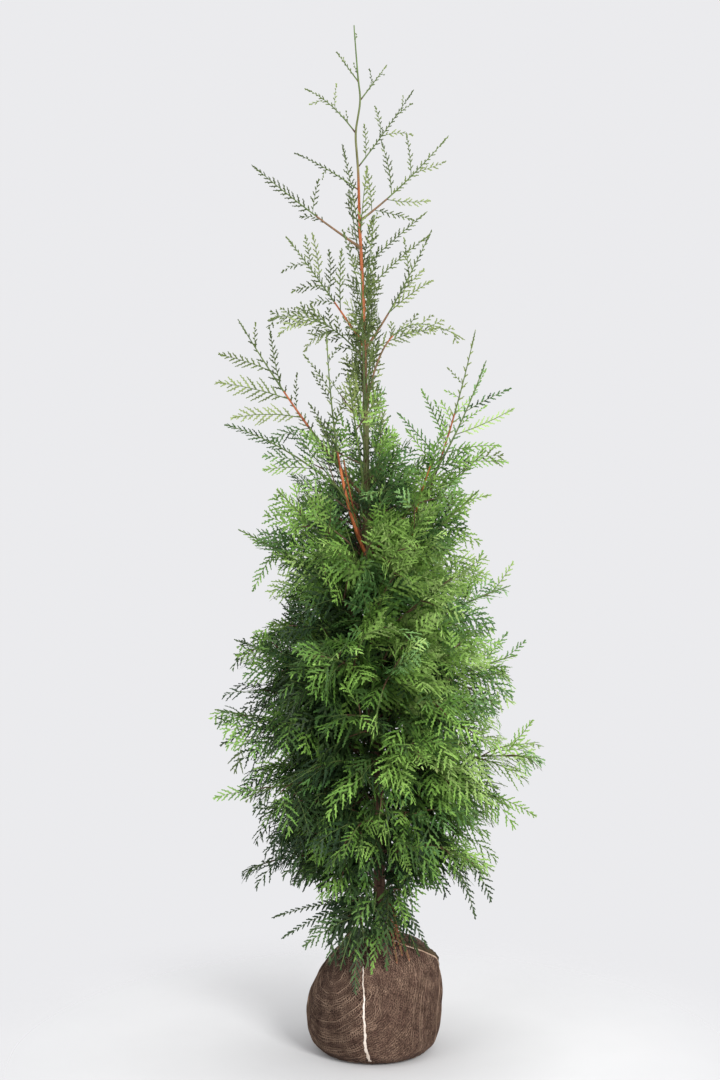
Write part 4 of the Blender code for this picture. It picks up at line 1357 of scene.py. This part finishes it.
def make_net():
    """The net over the cloth: threads in arcs round two gathers, tied across by short threads."""
    bold, thin = Faces(), Faces()
    own = np.random.default_rng(77)
    wobble = waves(43, 12, 40, 110)
    # gather, side of the strip, end of the rings' count, space between them, how much longer
    # than wide they are, how far the threads wander, share of bold ones
    for centre, side, rings, ring_gap, longer, slack, bold_share in (
        (SWIRL_LEFT, -1, 85, 0.0050, 0.10, 0.0016, 0.5),
        (SWIRL_RIGHT, 1, 90, 0.0042, 0.55, 0.0026, 0.22),
    ):
        step = ring_gap / SWIRL_REACH
        for ring in range(2, rings):
            angle = ring * ring_gap / SWIRL_REACH
            level = max(0.008, math.sin(angle) * SWIRL_REACH)
            phi = np.linspace(0, 2 * np.pi, int(2 * np.pi * level / 0.0042) + 8)
            # a few threads fan out from the ring's line and come back to it
            drift = own.normal(0, 0.010) + 0.03 * np.sin(phi * 2 + own.uniform(0, 6)) * (side > 0)
            wide = angle * (1 + longer * np.sin(phi) ** 2) + drift
            wide = wide + 0.018 * np.sin(phi * 3 + ring * 0.25) + 0.008 * np.sin(phi * 11 + ring * 1.7)
            place = onto_ball(swirl(centre, wide, phi), 0.0)
            place = onto_ball(place + UP * column(slack * wobble(place)), 0.0005)
            fine = netted(place, side) & (own.random(len(place)) > 0.018)
            is_bold = own.random() < bold_share
            radius = own.uniform(0.00045, 0.00095) if is_bold else own.uniform(0.00030, 0.00055)
            for start, end in runs(fine):
                strand(bold if is_bold else thin, place[start:end], radius)
            # short threads to the next ring
            spokes = int(2 * np.pi * level / 0.0052)
            phi = np.linspace(0, 2 * np.pi, spokes, endpoint=False) + own.uniform(0, 1)
            steps = []
            for share in (0, 0.5, 1):
                reach = (angle + share * step) * (1 + longer * np.sin(phi) ** 2)
                turn = phi + share * 0.35 * ring_gap / level
                steps.append(onto_ball(swirl(centre, reach, turn), 0.0004))
            fine = netted(steps[1], side) & (own.random(spokes) > 0.2)
            steps = np.stack(steps, axis=1)[fine]
            if len(steps):
                direction = unit(steps[:, 2] - steps[:, 0])
                half = unit(np.cross(off_ball(steps[:, 1]), direction)) * 0.0004
                rows = [steps[:, k] + half * sign for k in range(3) for sign in (-1, 1)]
                (bold if side < 0 and is_bold else thin).each(rows, ribbon_quads(2))
    return bold, thin


def ribbon(middle, beside, half, columns, lift, crown):
    """Rows of points over a ribbon on the cloth, higher along its middle."""
    rows = []
    for share in np.linspace(-1, 1, columns):
        place = onto_ball(middle + beside * column(half * share), lift)
        rows.append(place + off_ball(middle) * crown * (1 - share**4))
    return np.stack(rows, axis=1)


def make_strip():
    """The pale selvage down the front of the ball, a little crooked and wider at its foot."""
    block = Faces()
    height = np.linspace(0.246, 0.0035, 120)
    x = look_up(STRIP, height) + 0.0008 * np.sin(height * 90) + 0.0005 * np.sin(height * 260)
    middle = onto_ball(np.stack([x, np.full(len(x), -0.14), height], -1), 0.0)
    half = np.interp(height, (0.0, 0.03, 0.09, 0.18, 0.25), (0.0040, 0.0034, 0.0024, 0.0015, 0.0012))
    half = half * (1 + 0.15 * np.sin(height * 330) + 0.1 * np.sin(height * 710))
    beside = np.array((1, 0, 0))
    block.sheet(ribbon(middle, beside, half, columns=7, lift=0.0004, crown=0.0011), wrap=False)
    return block


# The seam over the right shoulder, from the gather at the trunk round to the back
SHOULDER = np.array((
    (0.044, -0.050, 0.262), (0.070, -0.058, 0.256), (0.098, -0.054, 0.244), (0.122, -0.038, 0.222),
    (0.138, 0.006, 0.190), (0.142, 0.034, 0.150), (0.134, 0.062, 0.100), (0.118, 0.086, 0.050),
    (0.100, 0.098, 0.012),
))
SHOULDER_ROWS = 110


def make_shoulder():
    """The pale edge over the shoulder and the roll of cloth behind it."""
    edge, roll = Faces(), Faces()
    count = np.arange(SHOULDER_ROWS)
    line = between(SHOULDER, np.linspace(0, len(SHOULDER) - 1, SHOULDER_ROWS))
    middle = smoothed_points(line, SHOULDER_ROWS // len(SHOULDER) // 2)
    beside = unit(np.cross(off_ball(middle), unit(np.gradient(middle, axis=0))))
    # the gathered cloth stands higher near the trunk
    raised = np.interp(middle[:, 2], (0.215, 0.240), (0.0, 0.0042))
    half = 0.0021 * (1 + 0.2 * np.sin(count * 0.7))
    edge.sheet(ribbon(middle, beside, half, columns=5, lift=raised + 0.0006, crown=0.0012), wrap=False)
    taper = np.sin(np.pi * np.linspace(0.06, 1.0, SHOULDER_ROWS)) ** 0.4
    for shift, girth in ((0.0085, 0.0064), (0.0185, 0.0046)):
        bend = column(shift + 0.0016 * np.sin(count * 0.12))
        line = onto_ball(middle + beside * bend, raised - 0.0008)
        rings = []
        for turn in turns_round(10):
            puckered = column(girth * taper * (1 + 0.14 * np.sin(count * 0.9 + 2 * turn)))
            rings.append(line + (beside * math.cos(turn) + off_ball(line) * math.sin(turn)) * puckered)
        roll.sheet(np.stack(rings, axis=1))
    return edge, roll


# Where the cloth is gathered and tied beside the trunk, and the loose ends of the tie
KNOT = np.array((0.040, -0.026, 0.262))
KNOT_ENDS = 34


def make_knot():
    """Short loose ends that lie over the cloth round the tie."""
    block = Faces()
    own = np.random.default_rng(78)
    t = column(np.linspace(0, 1, 8))
    for _ in range(KNOT_ENDS):
        heading = own.uniform(0, 2 * np.pi)
        reach = own.uniform(0.008, 0.026)
        end = np.array((math.cos(heading), math.sin(heading), own.uniform(-0.5, 0.35))) * reach
        sag = np.array((0, 0, 0.010)) * own.uniform(0.3, 1.2)
        points = KNOT + own.normal(0, 0.003, 3) + end * t + sag * (t - t * t) * 4
        low = onto_ball(points, 0.001)
        inside = np.linalg.norm(points - BALL_HEART, axis=1) < np.linalg.norm(low - BALL_HEART, axis=1)
        strand(block, np.where(column(inside), low, points), own.uniform(0.0006, 0.0012), 4)
    return block


def cloth_material():
    """Brown jute: threads in rings round both gathers, pale fibres over soil, and painted shade that
    darkens the left side.
    """
    nodes = Nodes("jute_cloth", 0.95, 0.1)
    fuzz = nodes.noise(150, 4)
    rings = []
    for centre, number in ((SWIRL_LEFT, 1250), (SWIRL_RIGHT, 1450)):
        away = nodes.new("VectorMath", {0: nodes.place, 1: tuple(centre)}, operation="DISTANCE")
        turn = nodes.maths("MULTIPLY", away.outputs["Value"], number)
        rings.append(nodes.maths("SINE", nodes.maths("ADD", turn, nodes.maths("MULTIPLY", fuzz, 14))))
    threads = nodes.maths("MULTIPLY", nodes.maths("ADD", *rings), 0.10)
    threads = nodes.maths("ADD", threads, nodes.noise(330, 5))
    soil = nodes.ramp(
        nodes.noise(20, 4),
        (0.30, (0.020, 0.011, 0.008)), (0.52, (0.042, 0.024, 0.018)), (0.72, (0.075, 0.045, 0.034)),
    )
    pale = nodes.ramp(
        nodes.noise(40, 4),
        (0.32, (0.120, 0.066, 0.050)), (0.52, (0.190, 0.118, 0.084)), (0.68, (0.300, 0.200, 0.140)),
    )
    fibre = nodes.maths("MULTIPLY", nodes.maths("SUBTRACT", threads, 0.40), 3.2, clamp=True)
    height = nodes.maths("ADD", threads, nodes.maths("MULTIPLY", fuzz, 0.8))
    # painted shade: the cloth darkens towards its left side
    weave_and_shade = nodes.across(nodes.mix(fibre, soil, pale), -0.09, 0.01, 0.66)
    return nodes.finish(weave_and_shade, height, strength=0.9, distance=0.0016)


def thread_material(name, low, high):
    nodes = Nodes(name, 0.9, 0.1)
    # painted shade: the threads and edges darken towards the left of the ball
    shade = nodes.across(nodes.ramp(nodes.noise(45, 4), (0.32, low), (0.68, high)), -0.09, -0.03, 0.70)
    return nodes.finish(shade, nodes.noise(1500, 2), strength=0.5, distance=0.0004)


cloth = Faces()
cloth.sheet(ball_grid())
add_piece("ball_cloth", cloth, cloth_material(), BALL_NODES)
net_bold, net_thin = make_net()
shoulder_edge, shoulder_roll = make_shoulder()
for name, block, low, high in (
    ("ball_net", net_thin, (0.050, 0.028, 0.020), (0.240, 0.155, 0.110)),
    ("ball_net_pale", net_bold, (0.120, 0.074, 0.052), (0.430, 0.300, 0.215)),
    ("ball_strip", make_strip(), (0.52, 0.42, 0.34), (0.82, 0.74, 0.66)),
    ("ball_shoulder", shoulder_edge, (0.36, 0.24, 0.17), (0.62, 0.47, 0.36)),
    ("ball_roll", shoulder_roll, (0.040, 0.032, 0.018), (0.110, 0.075, 0.045)),
    ("ball_knot", make_knot(), (0.080, 0.026, 0.016), (0.220, 0.085, 0.050)),
):
    add_piece(name, block, thread_material(name, low, high), BALL_NODES)

# ---- the studio

FLOOR_DROP = 0.0005
FLOOR_SIDES = 96


def make_floor():
    """A round floor that fades out into the backdrop."""
    r, u = np.meshgrid(np.geomspace(0.2, 1.2, 12), turns_round(FLOOR_SIDES), indexing="ij")
    points = np.stack([r * np.cos(u), r * np.sin(u), 0 * r - FLOOR_DROP], -1)
    block = Faces()
    block.sheet(points)
    block.cap(points[0], (0, 0, -FLOOR_DROP))
    floor = bpy.data.objects.new("floor", block.mesh("floor", smooth=False, push=False))
    bpy.context.scene.collection.objects.link(floor)
    nodes = Nodes("floor_paint", 1.0, 0.0)
    nodes.finish(nodes.ramp(nodes.noise(3, 3), (0.3, (0.64, 0.64, 0.64)), (0.7, (0.67, 0.67, 0.67))))
    reach = nodes.new("VectorMath", {0: nodes.place}, operation="LENGTH").outputs["Value"]
    span = {"From Min": 0.30, "From Max": 1.18, "Value": reach}
    fade = nodes.new("MapRange", span, interpolation_type="SMOOTHERSTEP").outputs["Result"]
    clear = nodes.new("BsdfTransparent").outputs[0]
    blend = nodes.new("MixShader", {0: fade, 1: nodes.shader.outputs[0], 2: clear}).outputs[0]
    nodes.put(nodes.tree.nodes["Material Output"], {"Surface": blend})
    floor.data.materials.append(nodes.material)
    floor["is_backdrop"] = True


def add_light(name, place, target, size, power):
    light = bpy.data.lights.new(name, "AREA")
    light.size = size
    light.energy = power
    lamp = bpy.data.objects.new(name, light)
    bpy.context.scene.collection.objects.link(lamp)
    lamp.location = place
    direction = Vector(np.subtract(target, place))
    lamp.rotation_euler = direction.to_track_quat("-Z", "Y").to_euler()


make_floor()
add_light("key", place=(1.7, -3.4, 2.3), target=(0, 0, 1.1), size=1.2, power=150)
add_light("fill", place=(-2.6, -2.6, 1.6), target=(0, 0, 1.0), size=2.0, power=30)
add_light("top", place=(0.3, 0.6, 4.2), target=(0, 0, 1.0), size=2.4, power=46)

world = bpy.data.worlds.new("studio")
world.use_nodes = True
background = world.node_tree.nodes["Background"].inputs
background["Color"].default_value = (0.83, 0.83, 0.85, 1)
background["Strength"].default_value = 1.0
bpy.context.scene.world = world
bpy.context.scene.view_settings.view_transform = "Standard"

camera_data = bpy.data.cameras.new("camera")
camera = bpy.data.objects.new("camera", camera_data)
bpy.context.scene.collection.objects.link(camera)
camera.location = (-0.032, -3.45, 1.158)
camera.rotation_euler = (math.radians(90), 0, 0)
camera_data.lens = 50.43
bpy.context.scene.camera = camera

low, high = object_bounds()
